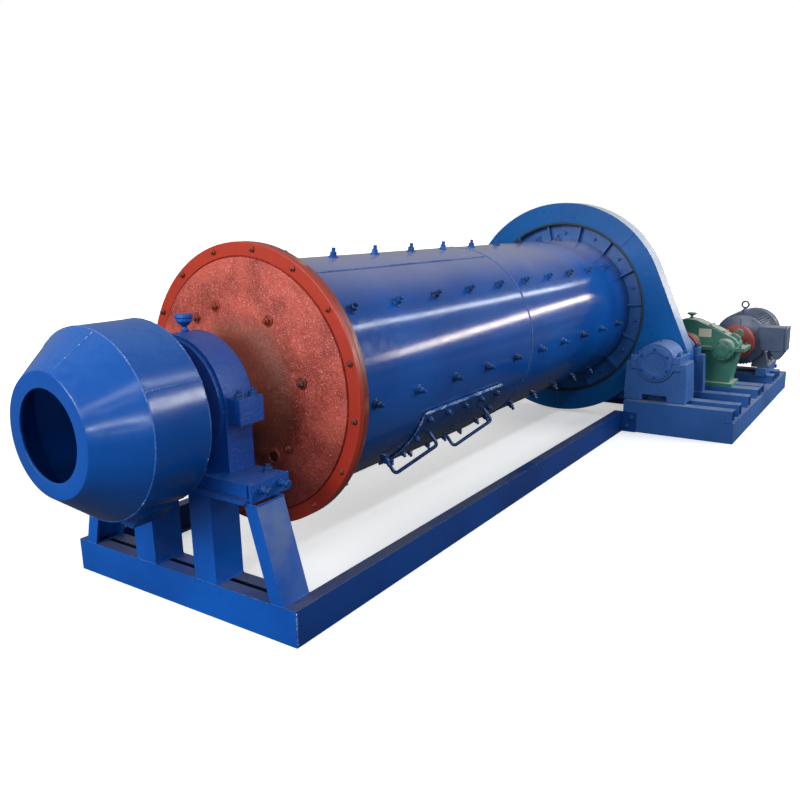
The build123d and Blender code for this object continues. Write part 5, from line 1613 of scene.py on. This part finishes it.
def fan_cowl():
    """Pressed cowl: a tube with a rolled shoulder, and a grille of concentric rings on crossing bars."""
    x0, x1 = COWL_LOW.x, COWL_HIGH.x
    wall, opening = 0.003, COWL_RADIUS * GRILLE_SHARE
    inside = COWL_RADIUS - wall
    corners = [(x0, COWL_RADIUS, 0), (x1, COWL_RADIUS, 0.030), (x1, opening, 0.001), (x1 - wall, opening, 0),
               (x1 - wall, inside, 0.027), (x0, inside, 0)]
    shapes = [turned(rounded(corners, steps=6), MOTOR_AXIS, segments=96)]
    for ring in COWL_RADIUS * np.linspace(*GRILLE_RING_SHARES, GRILLE_RINGS):
        wire = [(x, ring + half, 0.001) for x, half in ((x1 - 0.005, -0.0022), (x1 - 0.005, 0.0022),
                                                        (x1 - 0.001, 0.0022), (x1 - 0.001, -0.0022))]
        shapes.append(turned(rounded(wire), MOTOR_AXIS, segments=48))
    bar = box_outline(COWL_RADIUS * GRILLE_BAR_SHARE, 0.008, 0.002)
    for angle in np.radians((0, 60, 120)):
        across = np.array((0, np.cos(angle), np.sin(angle)))
        up = np.cross((1, 0, 0), across)
        shapes.append(plate_shape(bar, (x1 - 0.006, FAST_Y, DRIVE_Z), across, up, 0.004, 0.0008))
    back = [(x0, 0, 0), (x0, inside, 0), (x0 + 0.002, inside, 0), (x0 + 0.002, 0, 0)]
    shapes.append(turned(rounded(back), MOTOR_AXIS, segments=48))
    return joined(shapes)


TERMINAL_LOW, TERMINAL_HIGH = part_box("motor_terminal_box")
FUNNEL_DROP = 0.060
FUNNEL_WIDTH = 0.109
FUNNEL_THROAT = 0.012
LID = 0.016
TERMINAL_BASE = TERMINAL_LOW.z + FUNNEL_DROP


def terminal_box():
    """Cast box, its lid with a step, and the funnel for the cable under it."""
    low, high = TERMINAL_LOW, TERMINAL_HIGH
    length = high.x - low.x
    front, top = low.y + LID, high.z - 0.004
    outline = rounded([(front, TERMINAL_BASE, 0.004), (front, top, 0.004), (FAST_Y - 0.120, top, 0.004),
                       (FAST_Y - 0.150, TERMINAL_BASE, 0.004)])
    box = plate_shape(outline, (low.x + 0.004, 0, 0), *SECTION, length - 0.008, 0.003)
    mouth, throat = TERMINAL_BASE + 0.002, low.y + FUNNEL_WIDTH / 2
    outline = rounded([(low.y + 0.004, mouth, 0.002), (low.y + FUNNEL_WIDTH, mouth, 0.002),
                       (throat + FUNNEL_THROAT, low.z, 0.004), (throat - FUNNEL_THROAT, low.z, 0.004)])
    funnel = plate_shape(outline, (low.x + 0.012, 0, 0), *SECTION, length - 0.024, 0.003)
    middle = ((low.x + high.x) / 2, front, (TERMINAL_BASE + high.z) / 2)
    face = box_outline(length, high.z - TERMINAL_BASE, 0.012)
    return joined([box, funnel, plate_shape(face, middle, (1, 0, 0), (0, 0, 1), LID, 0.004)])


for name, shape, node in (
        ("motor_casting", joined([finned_body(), motor_feet(), eye_bolt()]), "motor_body"),
        ("motor_bells", end_bells(), "motor_end_bells"),
        ("motor_cowl", fan_cowl(), "motor_fan_cowl"),
        ("terminal_box", terminal_box(), "motor_terminal_box")):
    new_piece(name, shape, MOTOR_GREY, "base", node)

BELL_BOLT = prism_stack((6, 0.0095, -0.004, 0.0080))
LID_SCREW = prism_stack((6, 0.0060, -0.001, 0.0))
BELL_BOLTS = 6
BELL_BOLT_CIRCLE = FIN_TIP - 0.022
BELL_BOLT_DROP = BELL_DEPTH * 0.60
LID_SCREW_INSET = 0.014


def motor_bolts():
    """Bolts of the bells' rims, the feet and the terminal box's lid."""
    shapes = []
    for x, toward, seed in ((BELL_X + BELL_BOLT_DROP, -1, 101), (COWL_LOW.x - BELL_BOLT_DROP, 1, 102)):
        places = disc_places(BELL_BOLT_CIRCLE, BELL_BOLTS, x, FAST_Y, DRIVE_Z)
        shapes.append(scattered(BELL_BOLT, places, (toward, 0, 0), seed))
    inset_x, inset_y = FOOT_BOLT_INSET
    feet = [(x, FAST_Y + side * (FOOT_REACH - inset_y), BODY_LOW.z + FOOT_THICK)
            for x in (FOOT_X0 + inset_x, FOOT_X0 + FOOT_LENGTH - inset_x) for side in (-1, 1)]
    shapes.append(scattered(CAP_BOLT, feet, (0, 0, 1), seed=103))
    lid = [(x, TERMINAL_LOW.y + 0.0005, z)
           for x in (TERMINAL_LOW.x + LID_SCREW_INSET, TERMINAL_HIGH.x - LID_SCREW_INSET)
           for z in (TERMINAL_BASE + LID_SCREW_INSET, TERMINAL_HIGH.z - LID_SCREW_INSET)]
    shapes.append(scattered(LID_SCREW, lid, (0, -1, 0), seed=104))
    return joined(shapes)


BOLT_GREY = enamel("bolt_grey", (0.16, 0.19, 0.25, 1), (0.09, 0.11, 0.15, 1), dust=0.4, chips=0.3, gloss=0.30,
                   dust_colour=MOTOR_DUST, chip_colour=MOTOR_CHIP)
new_piece("motor_bolts", motor_bolts(), BOLT_GREY, "base")

# Camera, floor and light
# A white floor that runs into the white backdrop, a soft box ahead of the feed end and one beside
# the drive, and three strip lamps: each strip stands where the blue steel mirrors it as a streak.
CAMERA_PLACE = (-1.6624, -2.1181, 1.3046)
CAMERA_YAW = radians(34.70)
CAMERA_PITCH = radians(-12.71)
CAMERA_ROLL = radians(1.34)
SENSOR_WIDTH = 36.0
FOCAL_LENGTH = 34.89
CLIP_END = 300.0


def camera_axes():
    """Camera turned by yaw, pitch and roll: its columns are right, up and backwards."""
    ahead = np.array((cos(CAMERA_PITCH) * cos(CAMERA_YAW), cos(CAMERA_PITCH) * sin(CAMERA_YAW),
                      sin(CAMERA_PITCH)))
    right = unit(np.cross(ahead, (0, 0, 1)))
    down = np.cross(ahead, right)
    rolled_right = cos(CAMERA_ROLL) * right + sin(CAMERA_ROLL) * down
    rolled_down = cos(CAMERA_ROLL) * down - sin(CAMERA_ROLL) * right
    return Matrix(np.column_stack((rolled_right, -rolled_down, -ahead)).tolist()).to_4x4()


camera = bpy.data.objects.new("camera", bpy.data.cameras.new("camera"))
bpy.context.scene.collection.objects.link(camera)
camera.data.sensor_width = SENSOR_WIDTH
camera.data.lens = FOCAL_LENGTH
camera.data.clip_end = CLIP_END
camera.matrix_world = Matrix.Translation(CAMERA_PLACE) @ camera_axes()
bpy.context.scene.camera = camera


def soft_box(name, place, target, size, power, colour=(1, 1, 1), roll=0.0):
    """Rectangular lamp that faces a point, its long side level or rolled by an angle in degrees."""
    lamp = bpy.data.lights.new(name, "AREA")
    lamp.shape = "RECTANGLE"
    lamp.size, lamp.size_y = size
    lamp.energy = power
    lamp.color = colour
    holder = bpy.data.objects.new(name, lamp)
    holder.location = place
    turn = (Vector(target) - Vector(place)).to_track_quat("-Z", "Y")
    holder.rotation_euler = (turn @ Quaternion((0, 0, 1), radians(roll))).to_euler()
    bpy.context.scene.collection.objects.link(holder)


SKY_TINT = (0.84, 0.92, 1.0)
SUN_TINT = (1.0, 0.88, 0.76)
soft_box("front_of_feed_end", (-6.0, 0.8, 3.6), (0.0, 0.0, 0.6), (5.0, 3.5), 500)
soft_box("drive_side", (4.5, -5.0, 2.6), (3.9, -0.9, 0.4), (2.6, 1.2), 125)
soft_box("upper_strip", (4.0, -4.2, 5.0), (4.0, 0.0, 0.9), (24.0, 0.34), 310, SKY_TINT)
soft_box("lower_strip", (9.8, -4.2, 2.06), (9.8, 0.0, 1.0), (7.6, 0.44), 150, SUN_TINT, roll=7.9)
soft_box("nose_strip", (-4.0, -4.2, 1.25), (-2.0, 0.0, 0.9), (2.4, 0.16), 45, SKY_TINT)

MIRRORED_SHARE = 0.08
AMBIENT = 0.24


def seen(tree, rays):
    """Where a ray sees the white studio: the camera in full, enamel and steel by the mirrored share."""
    clear = maths(tree, "MAXIMUM", rays["Is Camera Ray"], rays["Is Transmission Ray"])
    return maths(tree, "MAXIMUM", clear, product(tree, rays["Is Glossy Ray"], MIRRORED_SHARE))


world = bpy.data.worlds.new("studio")
bpy.context.scene.world = world
world.use_nodes = True
sky = world.node_tree
backdrop = sky.nodes["Background"].inputs
white_share = seen(sky, sky.nodes.new("ShaderNodeLightPath").outputs)
feed(sky, backdrop["Strength"], total(sky, AMBIENT, product(sky, white_share, 1 - AMBIENT)))
backdrop["Color"].default_value = (1, 1, 1, 1)

FLOOR_REACH = 60.0
FLOOR_WHITE = (0.90, 0.90, 0.90, 1)
FLOOR_UNSEEN = (0.07, 0.07, 0.07, 1)
FLOOR_MIDDLE = (1.9, -0.3, 0.0)
SHADOW_REACH = (2.6, 6.5)
NEAR_GLOW = 0.42


def floor_finish():
    """White floor with a soft shadow near the mill; further out it glows to white, so no horizon shows.

    To diffuse and glossy rays it is dark, so that it doesn't light the undersides.
    """
    material, tree, surface = new_material("floor_paint")
    surface["Roughness"].default_value = 0.9
    surface["Specular IOR Level"].default_value = 0.0
    rays = tree.nodes.new("ShaderNodeLightPath").outputs
    bounced = maths(tree, "MAXIMUM", rays["Is Diffuse Ray"], rays["Is Glossy Ray"])
    feed(tree, surface["Base Color"], blend(tree, bounced, FLOOR_WHITE, FLOOR_UNSEEN))
    away = node_of(tree, "ShaderNodeVectorMath", operation="DISTANCE")
    feed(tree, away.inputs[0], coordinates(tree)["Object"])
    feed(tree, away.inputs[1], FLOOR_MIDDLE)
    far = ease(tree, away.outputs["Value"], *SHADOW_REACH)
    surface["Emission Color"].default_value = (1, 1, 1, 1)
    feed(tree, surface["Emission Strength"], product(tree, seen(tree, rays), total(tree, NEAR_GLOW, far)))
    return material


floor_mesh = bpy.data.meshes.new("studio_floor")
floor_corners = FLOOR_REACH * np.array([(-1, -1, 0), (1, -1, 0), (1, 1, 0), (-1, 1, 0)])
floor_mesh.from_pydata(floor_corners.tolist(), [], [(0, 1, 2, 3)])
floor_mesh.materials.append(floor_finish())
floor = bpy.data.objects.new("studio_floor", floor_mesh)
bpy.context.scene.collection.objects.link(floor)
bpy.context.scene.view_settings.view_transform = "Standard"
